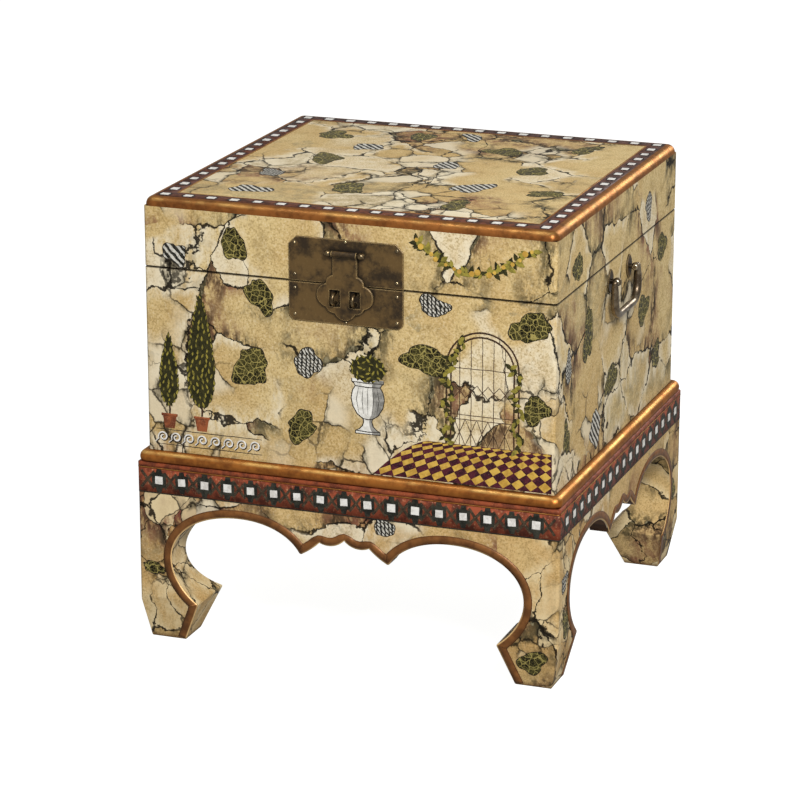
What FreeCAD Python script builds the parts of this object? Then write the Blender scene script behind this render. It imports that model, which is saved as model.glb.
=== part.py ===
import FreeCAD, Part
import math
import os

# Painted storage chest on a stand with hoof feet, in millimetres.
# The frame has +Z up and the front towards -Y, with its origin on the floor under the chest's centre.
# The chest is a boarded case with a hinged lid. It stands on four sawn legs that are joined by
# scalloped aprons, and half-round moulding holds it in place on the stand.

# Chest body
BOX_W = 464.0
BOX_D = 448.0
CASE_H = 219.0
LID_H = 76.5
WALL_T = 14.0
RABBET = 7.0
BOTTOM_T = 10.0
LID_TOP_T = 10.0
LID_GAP = 1.0
CORNER_R = 3.5
SEAM_R = 0.8
NOSING_W = 10.0
NOSING_R = 9.0

# Stand
STAND_H = 204.5
OVERHANG = 9.5
LEG_STOCK = 69.0
NECK_W = 38.5
NECK_Z = 97.0
HOOF_Z = 46.0
ANKLE_Z = 50.0
FOOT_INSET = 9.5
FOOT_W = 40.0
FOOT_EASE = 2.2
APRON_T = 22.0
ARCH_Z = 152.3
CUSP_X = 51.0
CUSP_Z = 120.3
CUSP_R = 2.5
NOTCH_X = 28.5
NOTCH_Z = 136.5
LOBE_X = 16.0
LOBE_Z = 134.3
PEAK_Z = 142.0
SWEEP_X = 39.0
SWEEP_Z = 127.6
TENON_T = 8.0
TENON_L = 22.0
TENON_H = 36.0
TENON_TOP_GAP = 12.0
TENON_FIT = 0.1
MOULDING_H = 13.0
MOULDING_LAND = 1.2
MOULDING_TOE = 2.0
MOULDING_BELLY_Z = 5.6
CLEAT_W = 20.0
CLEAT_H = 20.0

# Pulls of the sawn curves, as shares of each curve's own width and height
HOOF_PULL = (0.63, 0.275)
NECK_PULL_DOWN = 0.35
NECK_PULL_UP = 0.55
APEX_SHARE = 0.54
APEX_PULL_OUT = 0.61
APEX_PULL_IN = 0.51
CUSP_PULL = (0.135, 0.55)

# Lock: plates, hasp, posts, pin and staples
PLATE_W = 129.0
UPPER_PLATE_H = 49.0
LOWER_PLATE_H = 43.0
PLATE_T = 1.5
PLATE_EASE = 0.5
UPPER_CHAMFER = 8.5
LOWER_CORNER_R = 7.5
PLATE_PIN_INSET = 7.0
PLATE_PIN_EDGE = 2.4
HASP_T = 2.8
HASP_EASE = 0.8
SLOT_EASE = 0.4
HASP_LIFT = 0.6
HASP_STRAP_W = 28.0
HASP_SHOULDER_DROP = 23.5
HASP_TIP_GAP = 0.7
HASP_LOBE_W = 64.0
HASP_WAIST_W = 43.0
HASP_TIP_W = 23.0
HASP_BARREL_R = 3.3
HASP_PIN_R = 1.75
POST_BALL_R = 3.8
POST_STEM_R = 2.5
POST_DEPTH = 10.0
POST_GAP = 0.4
BAR_DROP = 15.0
SLOT_W = 11.5
SLOT_H = 18.0
SLOT_SPACING = 22.6
STAPLE_WIRE_R = 2.0
STAPLE_SPREAD = 11.0
STAPLE_REACH = 14.0
STAPLE_DEPTH = 9.0

# Hinges
HINGE_L = 64.0
HINGE_END_INSET = 92.0
HINGE_LEAF_W = 11.0
HINGE_LEAF_T = 1.8
KNUCKLE_R = 3.6
KNUCKLES = 5
KNUCKLE_GAP = 0.3
HINGE_PIN_R = 1.75
HINGE_STANDOFF = 0.3
MORTISE_FIT = 0.2

# Side handles
HANDLE_SPACING = 70.0
HANDLE_DROP = 21.5
HANDLE_STANDOFF = 8.5
HANDLE_BALL_R = 4.8
HANDLE_STEM_R = 3.0
HANDLE_STEM_DEPTH = 10.0
ROSETTE_H = 27.0
ROSETTE_W = 19.0
ROSETTE_T = 1.6
BAIL_END_R = 3.1
BAIL_CORNER_R = 4.7
BAIL_GRIP_R = 3.9
BAIL_PIVOT_R = 2.4
BAIL_ARM_GAP = 0.6
BAIL_REACH = 38.0
BAIL_BEND_R = 19.0

# Fasteners
PLATE_PIN_HEAD_R = 1.9
PLATE_PIN_HEAD_H = 1.2
PLATE_PIN_R = 0.8
PLATE_PIN_L = 9.0
SCREW_HEAD_R = 3.0
SCREW_HEAD_H = 1.6
SCREW_R = 1.5
HINGE_SCREW_L = 11.0
CLEAT_SCREW_BITE = 7.0
SCREWS_PER_LEAF = 3
SCREWS_PER_CLEAT = 2

# Clearances
PIN_FIT = 0.1
SEAT_FIT = 0.05

# Places that follow from the sizes above
STAND_W = BOX_W + 2 * OVERHANG
STAND_D = BOX_D + 2 * OVERHANG
SEAM_Z = STAND_H + CASE_H
TOP_Z = SEAM_Z + LID_H
CASE_TOP_Z = SEAM_Z - LID_GAP / 2
LID_BASE_Z = SEAM_Z + LID_GAP / 2
RAIL_TOP_Z = TOP_Z - LID_TOP_T
FRONT_Y = -BOX_D / 2
HASP_BACK = PLATE_T + HASP_LIFT
BAR_OUT = HASP_BACK + HASP_BARREL_R
BAR_Z = SEAM_Z + UPPER_PLATE_H - BAR_DROP
POST_X = HASP_STRAP_W / 2 + POST_GAP + POST_BALL_R + POST_GAP
HASP_SHOULDER_Z = BAR_Z - HASP_SHOULDER_DROP
HASP_TIP_Z = SEAM_Z - LOWER_PLATE_H + PLATE_PIN_EDGE + PLATE_PIN_HEAD_R + HASP_TIP_GAP
HASP_BODY_H = HASP_SHOULDER_Z - HASP_TIP_Z
HASP_LOBE_Z = HASP_SHOULDER_Z - 0.46 * HASP_BODY_H
STAPLE_Z = HASP_LOBE_Z - 2.5
HINGE_X = BOX_W / 2 - HINGE_END_INSET
HINGE_Y = BOX_D / 2 + KNUCKLE_R + HINGE_STANDOFF
HANDLE_Z = SEAM_Z - HANDLE_DROP
SIDES = {"front": 0.0, "right": 90.0, "back": 180.0, "left": 270.0}
UP = FreeCAD.Vector(0, 0, 1)
OUT = FreeCAD.Vector(0, -1, 0)
ACROSS = FreeCAD.Vector(1, 0, 0)


def vec(x, y, z):
    """A point or a direction."""
    return FreeCAD.Vector(x, y, z)


def block(x0, x1, y0, y1, z0, z1):
    """A box between two corners."""
    return Part.makeBox(x1 - x0, y1 - y0, z1 - z0, vec(x0, y0, z0))


def line(a, b):
    """A straight edge."""
    return Part.LineSegment(a, b).toShape()


def arc(a, middle, b):
    """A round edge through three points."""
    return Part.Arc(a, middle, b).toShape()


def curve(*poles):
    """A smooth edge that is pulled towards its inner poles."""
    bezier = Part.BezierCurve()
    bezier.setPoles(list(poles))
    return bezier.toShape()


def face_of(edges):
    """A flat face inside edges that close."""
    return Part.Face(Part.Wire(Part.__sortEdges__(edges)))


def polygon(points):
    """A flat face with straight sides."""
    return Part.Face(Part.makePolygon(points + points[:1]))


def rod(radius, start, length, direction):
    """A round bar."""
    return Part.makeCylinder(radius, length, start, direction)


def turned(shape, angle):
    """A copy turned about the chest's upright middle line."""
    copy = shape.copy()
    copy.rotate(vec(0, 0, 0), UP, angle)
    return copy


def joined(shapes):
    """Touching or crossing shapes made into one solid."""
    first, *others = shapes
    return first.multiFuse(others).removeSplitter() if others else first


def cut(shape, tools):
    """The shape less every tool."""
    return shape.cut(Part.makeCompound(tools)) if tools else shape


def group(shapes):
    """Separate like pieces that share one node."""
    return Part.makeCompound(shapes)


def rounded_edges(shape, radius, wanted):
    """The shape with the edges that the test picks rounded."""
    edges = [e for e in shape.Edges if wanted(e)]
    return shape.makeFillet(radius, edges) if edges else shape


def is_upright_at(edge, x, y):
    """True for an upright edge that stands at a point of the plan."""
    middle = edge.CenterOfMass
    ends = edge.Vertexes
    upright = len(ends) == 2 and abs(ends[0].Z - ends[1].Z) > edge.Length - 1e-6
    return upright and abs(middle.x - x) < 1e-6 and abs(middle.y - y) < 1e-6


def headed_pin(head_r, head_h, shank_r, shank_l):
    """A domed head on a round shank, with its seat at the origin and its head towards +Z."""
    edges = [
        arc(vec(0, 0, head_h), vec(head_r * 0.74, 0, head_h * 0.66), vec(head_r, 0, 0)),
        line(vec(head_r, 0, 0), vec(shank_r, 0, 0)),
        line(vec(shank_r, 0, 0), vec(shank_r, 0, -shank_l)),
        line(vec(shank_r, 0, -shank_l), vec(0, 0, -shank_l)),
        line(vec(0, 0, -shank_l), vec(0, 0, head_h)),
    ]
    return face_of(edges).revolve(vec(0, 0, 0), UP, 360)


def countersunk_screw(length):
    """A flat-headed wood screw, with the top of its head at the origin and facing +Z."""
    profile = [
        vec(0, 0, 0),
        vec(SCREW_HEAD_R, 0, 0),
        vec(SCREW_R, 0, -SCREW_HEAD_H),
        vec(SCREW_R, 0, -length),
        vec(0, 0, -length),
    ]
    return polygon(profile).revolve(vec(0, 0, 0), UP, 360)


def screw_hole(length):
    """The space that a countersunk screw needs."""
    profile = [
        vec(0, 0, SEAT_FIT),
        vec(SCREW_HEAD_R + SEAT_FIT, 0, SEAT_FIT),
        vec(SCREW_HEAD_R + SEAT_FIT, 0, 0),
        vec(SCREW_R + SEAT_FIT, 0, -SCREW_HEAD_H),
        vec(SCREW_R + SEAT_FIT, 0, -length - SEAT_FIT),
        vec(0, 0, -length - SEAT_FIT),
    ]
    return polygon(profile).revolve(vec(0, 0, 0), UP, 360)


def placed(shape, at, facing):
    """A copy that stood on the origin facing +Z, now standing at a point and facing a direction."""
    copy = shape.copy()
    copy.Placement = FreeCAD.Placement(at, FreeCAD.Rotation(UP, facing))
    return copy


def mitred_run(section, length, distance, depth):
    """A strip along the front, from a section drawn at x = 0 behind y = -distance. Each end turns half of
    the corner about the strip's inner edge, so that two strips meet in a 45 degree joint."""
    straight = length / 2 - depth
    strip = section.extrude(vec(2 * straight, 0, 0))
    strip.translate(vec(-straight, 0, 0))
    pieces = [strip]
    for side in (-1, 1):
        end = section.copy()
        end.translate(vec(side * straight, 0, 0))
        pieces.append(end.revolve(vec(side * straight, -distance + depth, 0), vec(0, 0, side), 45))
    return joined(pieces)


def run_of(side, width, depth):
    """Length of a side's run and its distance from the middle, for a plan of that width and depth."""
    return (width, depth / 2) if side in ("front", "back") else (depth, width / 2)


# Case and lid boards

def long_board(z0, z1):
    """A front board over the whole width, rabbeted at both ends for the side boards."""
    board = block(-BOX_W / 2, BOX_W / 2, FRONT_Y, FRONT_Y + WALL_T, z0, z1)
    rabbets = []
    for side in (-1, 1):
        inner = side * (BOX_W / 2 - WALL_T)
        outer = side * BOX_W / 2
        rabbets.append(block(min(inner, outer), max(inner, outer),
                             FRONT_Y + WALL_T - RABBET, FRONT_Y + WALL_T, z0, z1))
    board = cut(board, rabbets)
    return rounded_edges(board, CORNER_R,
                         lambda e: any(is_upright_at(e, side * BOX_W / 2, FRONT_Y) for side in (-1, 1)))


def side_board(z0, z1):
    """A right-hand side board that seats in the rabbets of the front and back boards."""
    half = BOX_D / 2 - WALL_T + RABBET
    return block(BOX_W / 2 - WALL_T, BOX_W / 2, -half, half, z0, z1)


def eased_seam(board, z, outer_x, outer_y):
    """A board with the outer edge at the lid's seam eased."""
    def at_seam(edge):
        middle = edge.CenterOfMass
        level = all(abs(v.Z - z) < 1e-6 for v in edge.Vertexes)
        on_face = abs(middle.y - outer_y) < 1e-6 if outer_x is None else abs(middle.x - outer_x) < 1e-6
        return level and on_face and edge.Length > WALL_T
    return rounded_edges(board, SEAM_R, at_seam)


def make_case_boards():
    """The four walls and the bottom of the case."""
    front = cut(eased_seam(long_board(STAND_H, CASE_TOP_Z), CASE_TOP_Z, None, FRONT_Y), case_lock_holes())
    back = turned(eased_seam(long_board(STAND_H, CASE_TOP_Z), CASE_TOP_Z, None, FRONT_Y), 180)
    right = eased_seam(side_board(STAND_H, CASE_TOP_Z), CASE_TOP_Z, BOX_W / 2, None)
    right = cut(right, handle_stem_holes())
    bottom = block(-BOX_W / 2 + WALL_T, BOX_W / 2 - WALL_T, FRONT_Y + WALL_T, -FRONT_Y - WALL_T,
                   STAND_H, STAND_H + BOTTOM_T)
    return {
        "case_front_panel": front,
        "case_back_panel": cut(back, hinge_mortises("case")),
        "case_right_panel": right,
        "case_left_panel": turned(right, 180),
        "case_bottom_panel": cut(bottom, [placed(screw_hole(cleat_screw_length()), at, vec(0, 0, -1))
                                          for at in cleat_screw_points()]),
    }


def make_lid_boards():
    """The four rails of the lid, its top panel and the nosing round its top edge."""
    front = cut(eased_seam(long_board(LID_BASE_Z, RAIL_TOP_Z), LID_BASE_Z, None, FRONT_Y), lid_lock_holes())
    back = turned(eased_seam(long_board(LID_BASE_Z, RAIL_TOP_Z), LID_BASE_Z, None, FRONT_Y), 180)
    right = eased_seam(side_board(LID_BASE_Z, RAIL_TOP_Z), LID_BASE_Z, BOX_W / 2, None)
    inner_x = BOX_W / 2 - NOSING_W
    inner_y = BOX_D / 2 - NOSING_W
    pieces = {
        "lid_front_rail": front,
        "lid_back_rail": cut(back, hinge_mortises("lid")),
        "lid_right_rail": right,
        "lid_left_rail": turned(right, 180),
        "lid_top_panel": block(-inner_x, inner_x, -inner_y, inner_y, RAIL_TOP_Z, TOP_Z),
    }
    for side, angle in SIDES.items():
        length, distance = run_of(side, BOX_W, BOX_D)
        pieces["lid_nosing_" + side] = turned(nosing_strip(length, distance), angle)
    return pieces


def nosing_strip(length, distance):
    """A quarter-round strip along the top edge of the lid's front."""
    radius = min(NOSING_R, NOSING_W - 0.5, LID_TOP_T - 0.5)
    lean = radius * (1 - math.sqrt(0.5))
    section = face_of([
        line(vec(0, -distance + NOSING_W, TOP_Z), vec(0, -distance + NOSING_W, RAIL_TOP_Z)),
        line(vec(0, -distance + NOSING_W, RAIL_TOP_Z), vec(0, -distance, RAIL_TOP_Z)),
        line(vec(0, -distance, RAIL_TOP_Z), vec(0, -distance, TOP_Z - radius)),
        arc(vec(0, -distance, TOP_Z - radius), vec(0, -distance + lean, TOP_Z - lean),
            vec(0, -distance + radius, TOP_Z)),
        line(vec(0, -distance + radius, TOP_Z), vec(0, -distance + NOSING_W, TOP_Z)),
    ])
    return mitred_run(section, length, distance, NOSING_W)


# Stand

def stand_elevation(half):
    """The face, in the XZ plane, of one whole side of the stand: both feet and the scalloped edge between."""
    edges = [line(vec(-half, 0, STAND_H), vec(half, 0, STAND_H))]
    cusp_in = half - CUSP_X
    apex_in = NECK_W + APEX_SHARE * (cusp_in - NECK_W)
    for side in (-1, 1):
        def at(inward, z):
            return vec(side * (half - inward), 0, z)
        hoof_run = LEG_STOCK - NECK_W
        hoof_rise = NECK_Z - HOOF_Z
        neck_rise = ARCH_Z - NECK_Z
        cusp_run = cusp_in - apex_in
        cusp_fall = ARCH_Z - CUSP_Z
        edges += [
            line(at(0, STAND_H), at(0, ANKLE_Z)),
            line(at(0, ANKLE_Z), at(FOOT_INSET, 0)),
            line(at(FOOT_INSET, 0), at(FOOT_INSET + FOOT_W, 0)),
            line(at(FOOT_INSET + FOOT_W, 0), at(LEG_STOCK, HOOF_Z)),
            curve(at(LEG_STOCK, HOOF_Z),
                  at(LEG_STOCK - HOOF_PULL[0] * hoof_run, HOOF_Z + HOOF_PULL[1] * hoof_rise),
                  at(NECK_W, NECK_Z - NECK_PULL_DOWN * hoof_rise),
                  at(NECK_W, NECK_Z)),
            curve(at(NECK_W, NECK_Z),
                  at(NECK_W, NECK_Z + NECK_PULL_UP * neck_rise),
                  at(apex_in - APEX_PULL_OUT * (apex_in - NECK_W), ARCH_Z),
                  at(apex_in, ARCH_Z)),
            curve(at(apex_in, ARCH_Z),
                  at(apex_in + APEX_PULL_IN * cusp_run, ARCH_Z),
                  at(cusp_in - CUSP_PULL[0] * cusp_run, CUSP_Z + CUSP_PULL[1] * cusp_fall),
                  at(cusp_in, CUSP_Z)),
            arc(at(cusp_in, CUSP_Z), at(half - SWEEP_X, SWEEP_Z), at(half - NOTCH_X, NOTCH_Z)),
            arc(at(half - NOTCH_X, NOTCH_Z), at(half - LOBE_X, LOBE_Z), at(half, PEAK_Z)),
        ]
    return face_of(edges)


def tenon(half, fit):
    """The tenon at the right-hand end of an apron on the front, or its mortise where fit is more than 0."""
    shoulder = half - LEG_STOCK
    inset = (APRON_T - TENON_T) / 2
    top = STAND_H - TENON_TOP_GAP
    return block(shoulder, shoulder + TENON_L + fit, -fit + inset, inset + TENON_T + fit,
                 top - TENON_H - fit, top + fit)


def make_apron(length):
    """A scalloped apron along the front, between two legs, with a tenon at each end and its face at y = 0."""
    half = length / 2
    board = stand_elevation(half).extrude(vec(0, APRON_T, 0))
    board = board.common(block(-half + LEG_STOCK, half - LEG_STOCK, 0, APRON_T, 0, STAND_H))

    def at_cusp(edge):
        middle = edge.CenterOfMass
        return abs(abs(middle.x) - CUSP_X) < 1e-6 and abs(middle.z - CUSP_Z) < 1e-6
    board = rounded_edges(board, CUSP_R, at_cusp)
    right = tenon(half, 0)
    left = right.mirror(vec(0, 0, 0), ACROSS)
    return joined([board, left, right])


def make_leg():
    """A leg sawn to the stand's outline on both outer faces, with its outer corner on the Z axis and its
    stock towards +X and +Y, mortised for the two aprons that meet it."""
    half = STAND_W / 2
    sawn_one_way = stand_elevation(half).extrude(vec(0, LEG_STOCK, 0))
    sawn_one_way.translate(vec(half, 0, 0))
    corners = [(FOOT_INSET, 0), (FOOT_INSET + FOOT_W, 0), (LEG_STOCK, HOOF_Z)]

    def at_foot(edge):
        middle = edge.CenterOfMass
        return any(abs(middle.x - x) < 1e-6 and abs(middle.z - z) < 1e-6 for x, z in corners)
    sawn_one_way = rounded_edges(sawn_one_way, FOOT_EASE, at_foot)
    sawn_other_way = sawn_one_way.mirror(vec(0, 0, 0), vec(1, -1, 0))
    stock = block(0, LEG_STOCK, 0, LEG_STOCK, 0, STAND_H)
    stock = rounded_edges(stock, CORNER_R, lambda e: is_upright_at(e, 0, 0))
    leg = stock.common(sawn_one_way).common(sawn_other_way)
    mortise = tenon(half, TENON_FIT)
    mortise.rotate(vec(0, 0, 0), UP, 180)
    mortise.translate(vec(half, APRON_T, 0))
    return leg.cut(mortise).cut(mortise.mirror(vec(0, 0, 0), vec(1, -1, 0)))


def make_stand():
    """Legs, aprons, moulding and the cleats that the chest is screwed down to."""
    leg = make_leg()
    corners = {
        "front_left": (-STAND_W / 2, -STAND_D / 2, 0),
        "front_right": (STAND_W / 2, -STAND_D / 2, 90),
        "back_right": (STAND_W / 2, STAND_D / 2, 180),
        "back_left": (-STAND_W / 2, STAND_D / 2, 270),
    }
    pieces = {}
    for name, (x, y, angle) in corners.items():
        placed_leg = turned(leg, angle)
        placed_leg.translate(vec(x, y, 0))
        pieces[name + "_leg"] = placed_leg
    for side, angle in SIDES.items():
        length, distance = run_of(side, STAND_W, STAND_D)
        apron = make_apron(length)
        apron.translate(vec(0, -distance, 0))
        pieces[side + "_apron"] = turned(apron, angle)
        pieces["base_moulding_" + side] = turned(moulding_strip(length, distance), angle)
        pieces[side + "_cleat"] = make_cleat(side, angle)
    pieces["cleat_screws"] = group([placed(countersunk_screw(cleat_screw_length()), at, vec(0, 0, -1))
                                    for at in cleat_screw_points()])
    return pieces


def moulding_strip(length, distance):
    """A round-faced strip on top of the front apron, against the foot of the case."""
    top = STAND_H + MOULDING_H
    section = face_of([
        line(vec(0, -distance + OVERHANG, STAND_H), vec(0, -distance + OVERHANG, top)),
        line(vec(0, -distance + OVERHANG, top), vec(0, -distance + OVERHANG - MOULDING_LAND, top)),
        curve(vec(0, -distance + OVERHANG - MOULDING_LAND, top),
              vec(0, -distance + MOULDING_TOE, top),
              vec(0, -distance, STAND_H + MOULDING_BELLY_Z + MOULDING_TOE),
              vec(0, -distance, STAND_H + MOULDING_BELLY_Z)),
        curve(vec(0, -distance, STAND_H + MOULDING_BELLY_Z),
              vec(0, -distance, STAND_H + MOULDING_TOE),
              vec(0, -distance + MOULDING_TOE, STAND_H)),
        line(vec(0, -distance + MOULDING_TOE, STAND_H), vec(0, -distance + OVERHANG, STAND_H)),
    ])
    return mitred_run(section, length, distance, OVERHANG)


def cleat_span(side):
    """Length of a side's cleat between two legs, and the distance of its back from the middle."""
    length, distance = run_of(side, STAND_W, STAND_D)
    return length - 2 * LEG_STOCK, distance - APRON_T


def make_cleat(side, angle):
    """A square strip inside an apron, under the case's bottom, drilled for its screws."""
    length, distance = cleat_span(side)
    cleat = block(-length / 2, length / 2, -distance, -distance + CLEAT_W, STAND_H - CLEAT_H, STAND_H)
    holes = [placed(screw_hole(cleat_screw_length()), at, vec(0, 0, -1)) for at in cleat_screw_points()]
    return cut(turned(cleat, angle), holes)


def cleat_screw_length():
    """From the underside of a cleat to a screw's point in the bottom of the case."""
    return CLEAT_H + CLEAT_SCREW_BITE


def cleat_screw_points():
    """Where each screw's head lies, on the underside of the cleats."""
    points = []
    for side, angle in SIDES.items():
        length, distance = cleat_span(side)
        for k in range(SCREWS_PER_CLEAT):
            along = length * ((k + 0.5) / SCREWS_PER_CLEAT - 0.5)
            at = vec(along, -distance + CLEAT_W / 2, STAND_H - CLEAT_H)
            points.append(FreeCAD.Rotation(UP, angle).multVec(at))
    return points


# Lock on the front

def upper_pin_places():
    """Where the upper plate's pins stand, in the plane of the front."""
    half = PLATE_W / 2 - PLATE_PIN_INSET
    top = SEAM_Z + UPPER_PLATE_H
    low = LID_BASE_Z + PLATE_PIN_INSET
    return [(-half, top - PLATE_PIN_INSET), (0, top - PLATE_PIN_EDGE), (half, top - PLATE_PIN_INSET),
            (-half, low), (half, low)]


def lower_pin_places():
    """Where the lower plate's pins stand, in the plane of the front."""
    half = PLATE_W / 2 - PLATE_PIN_INSET
    top = CASE_TOP_Z - PLATE_PIN_INSET
    base = SEAM_Z - LOWER_PLATE_H
    return [(-half, top), (half, top), (-half, base + PLATE_PIN_INSET), (half, base + PLATE_PIN_INSET),
            (0, base + PLATE_PIN_EDGE)]


def front_point(x, z, outward):
    """A point that stands off the chest's front by the distance outward."""
    return vec(x, FRONT_Y - outward, z)


def bored(radius, x, z, depth):
    """A hole from in front of the lock plates to a depth behind the chest's front."""
    return rod(radius, front_point(x, z, -depth), depth + 2 * PLATE_T, OUT)


def pin_holes(places):
    """Holes for plate pins."""
    return [bored(PLATE_PIN_R + SEAT_FIT, x, z, PLATE_PIN_L) for x, z in places]


def post_holes():
    """Holes for the stems of the hasp's posts."""
    return [bored(POST_STEM_R + SEAT_FIT, side * POST_X, BAR_Z, POST_DEPTH) for side in (-1, 1)]


def staple_holes():
    """Holes for the legs of the staples."""
    return [bored(STAPLE_WIRE_R + SEAT_FIT, side * SLOT_SPACING / 2, STAPLE_Z + end * STAPLE_SPREAD / 2,
                  STAPLE_DEPTH)
            for side in (-1, 1) for end in (-1, 1)]


def lid_lock_holes():
    """What is drilled in the lid's front rail for the lock."""
    return pin_holes(upper_pin_places()) + post_holes()


def case_lock_holes():
    """What is drilled in the case's front for the lock."""
    return pin_holes(lower_pin_places()) + staple_holes()


def eased_front(plate, out, ease):
    """A plate with a small bevel along every edge of its front face."""
    level = FRONT_Y - out
    edges = [e for e in plate.Edges if abs(e.BoundBox.YMin - level) < 1e-6 and abs(e.BoundBox.YMax - level) < 1e-6]
    return plate.makeChamfer(ease, edges)


def lock_plate(outline):
    """A thin plate on the chest's front from an outline in the XZ plane."""
    return polygon([front_point(x, z, 0) for x, z in outline]).extrude(vec(0, -PLATE_T, 0))


def make_lock_plates():
    """The plate on the lid with its cut corners and the plate on the case with its round ones."""
    half = PLATE_W / 2
    top = SEAM_Z + UPPER_PLATE_H
    base = SEAM_Z - LOWER_PLATE_H
    upper = lock_plate([(-half, LID_BASE_Z), (half, LID_BASE_Z), (half, top - UPPER_CHAMFER),
                        (half - UPPER_CHAMFER, top), (-half + UPPER_CHAMFER, top),
                        (-half, top - UPPER_CHAMFER)])
    lower = lock_plate([(-half, base), (half, base), (half, CASE_TOP_Z), (-half, CASE_TOP_Z)])

    def at_lower_corner(edge):
        middle = edge.CenterOfMass
        return abs(abs(middle.x) - half) < 1e-6 and abs(middle.z - base) < 1e-6
    lower = rounded_edges(lower, LOWER_CORNER_R, at_lower_corner)
    upper = cut(eased_front(upper, PLATE_T, PLATE_EASE), pin_holes(upper_pin_places()) + post_holes())
    lower = cut(eased_front(lower, PLATE_T, PLATE_EASE), pin_holes(lower_pin_places()) + staple_holes())
    return upper, lower


def hasp_outline():
    """The edge of the hasp's strap and its cloud-shaped body, as edges in the plane of the front."""
    strap = HASP_STRAP_W / 2
    lobe = HASP_LOBE_W / 2
    waist = HASP_WAIST_W / 2
    tip = HASP_TIP_W / 2
    shoulder_notch = HASP_SHOULDER_Z - 0.19 * HASP_BODY_H
    waist_notch = HASP_SHOULDER_Z - 0.72 * HASP_BODY_H
    tip_notch = HASP_SHOULDER_Z - 0.85 * HASP_BODY_H
    edges = [line(front_point(-strap, BAR_Z, HASP_BACK), front_point(strap, BAR_Z, HASP_BACK))]
    for side in (-1, 1):
        def at(x, z):
            return front_point(side * x, z, HASP_BACK)
        edges += [
            line(at(strap, BAR_Z), at(strap, HASP_SHOULDER_Z)),
            arc(at(strap, HASP_SHOULDER_Z),
                at(0.5 * (strap + waist) + 1.6, HASP_SHOULDER_Z - 0.06 * HASP_BODY_H),
                at(waist, shoulder_notch)),
            arc(at(waist, shoulder_notch), at(lobe, HASP_LOBE_Z), at(waist, waist_notch)),
            arc(at(waist, waist_notch),
                at(0.5 * (waist + tip) + 1.2, tip_notch + 0.03 * HASP_BODY_H),
                at(tip, tip_notch)),
        ]
    edges.append(arc(front_point(-tip, tip_notch, HASP_BACK), front_point(0, HASP_TIP_Z, HASP_BACK),
                     front_point(tip, tip_notch, HASP_BACK)))
    return edges


def make_hasp():
    """The hasp: a strap rolled round the pin at its top, and a lobed body slotted for the staples."""
    front = HASP_BACK + HASP_T
    plate = eased_front(face_of(hasp_outline()).extrude(vec(0, -HASP_T, 0)), front, HASP_EASE)
    slots = []
    for side in (-1, 1):
        x = side * SLOT_SPACING / 2
        slots.append(block(x - SLOT_W / 2, x + SLOT_W / 2, FRONT_Y - front, FRONT_Y - HASP_BACK,
                           STAPLE_Z - SLOT_H / 2, STAPLE_Z + SLOT_H / 2))
    plate = cut(plate, slots)
    level = FRONT_Y - front

    def at_slot(edge):
        middle = edge.CenterOfMass
        beside = abs(abs(middle.x) - SLOT_SPACING / 2) < SLOT_W / 2 + 1e-6
        return beside and abs(middle.y - level) < 1e-6 and abs(middle.z - STAPLE_Z) < SLOT_H / 2 + 1e-6
    plate = plate.makeChamfer(SLOT_EASE, [e for e in plate.Edges if at_slot(e)])
    centre = front_point(-HASP_STRAP_W / 2, BAR_Z, BAR_OUT)
    barrel = rod(HASP_BARREL_R, centre, HASP_STRAP_W, ACROSS)
    bore = rod(HASP_PIN_R + PIN_FIT, centre, HASP_STRAP_W, ACROSS)
    return joined([plate, barrel]).cut(bore)


def make_hasp_post(side):
    """A ball-headed post in the lid's front, cross-drilled for the hasp's pin."""
    stem = rod(POST_STEM_R, front_point(side * POST_X, BAR_Z, -POST_DEPTH), POST_DEPTH + BAR_OUT, OUT)
    ball = Part.makeSphere(POST_BALL_R, front_point(side * POST_X, BAR_Z, BAR_OUT), ACROSS)
    hole = rod(HASP_PIN_R + SEAT_FIT, front_point(side * POST_X - POST_BALL_R, BAR_Z, BAR_OUT),
               2 * POST_BALL_R, ACROSS)
    return joined([stem, ball]).cut(hole)


def make_staple(side):
    """A round wire staple through one of the hasp's slots, with both legs in the case's front."""
    x = side * SLOT_SPACING / 2
    bend = STAPLE_SPREAD / 2
    straight = STAPLE_REACH - STAPLE_WIRE_R - bend
    high = front_point(x, STAPLE_Z + bend, -STAPLE_DEPTH)
    high_bend = front_point(x, STAPLE_Z + bend, straight)
    low_bend = front_point(x, STAPLE_Z - bend, straight)
    low = front_point(x, STAPLE_Z - bend, -STAPLE_DEPTH)
    crown = front_point(x, STAPLE_Z, straight + bend)
    path = Part.Wire([line(high, high_bend), arc(high_bend, crown, low_bend), line(low_bend, low)])
    section = Part.Wire(Part.makeCircle(STAPLE_WIRE_R, high, OUT))
    return path.makePipeShell([section], True, False)


def make_lock():
    """Every metal piece on the chest's front."""
    upper, lower = make_lock_plates()
    pin = headed_pin(PLATE_PIN_HEAD_R, PLATE_PIN_HEAD_H, PLATE_PIN_R, PLATE_PIN_L + PLATE_T)
    pin_reach = POST_X + POST_BALL_R - POST_GAP
    return {
        "upper_lock_plate": upper,
        "lower_lock_plate": lower,
        "upper_plate_pins": group([placed(pin, front_point(x, z, PLATE_T), OUT) for x, z in upper_pin_places()]),
        "lower_plate_pins": group([placed(pin, front_point(x, z, PLATE_T), OUT) for x, z in lower_pin_places()]),
        "hasp": make_hasp(),
        "hasp_posts": group([make_hasp_post(side) for side in (-1, 1)]),
        "hasp_pin": rod(HASP_PIN_R, front_point(-pin_reach, BAR_Z, BAR_OUT), 2 * pin_reach, ACROSS),
        "lock_staples": group([make_staple(side) for side in (-1, 1)]),
    }


# Hinges at the back

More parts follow.
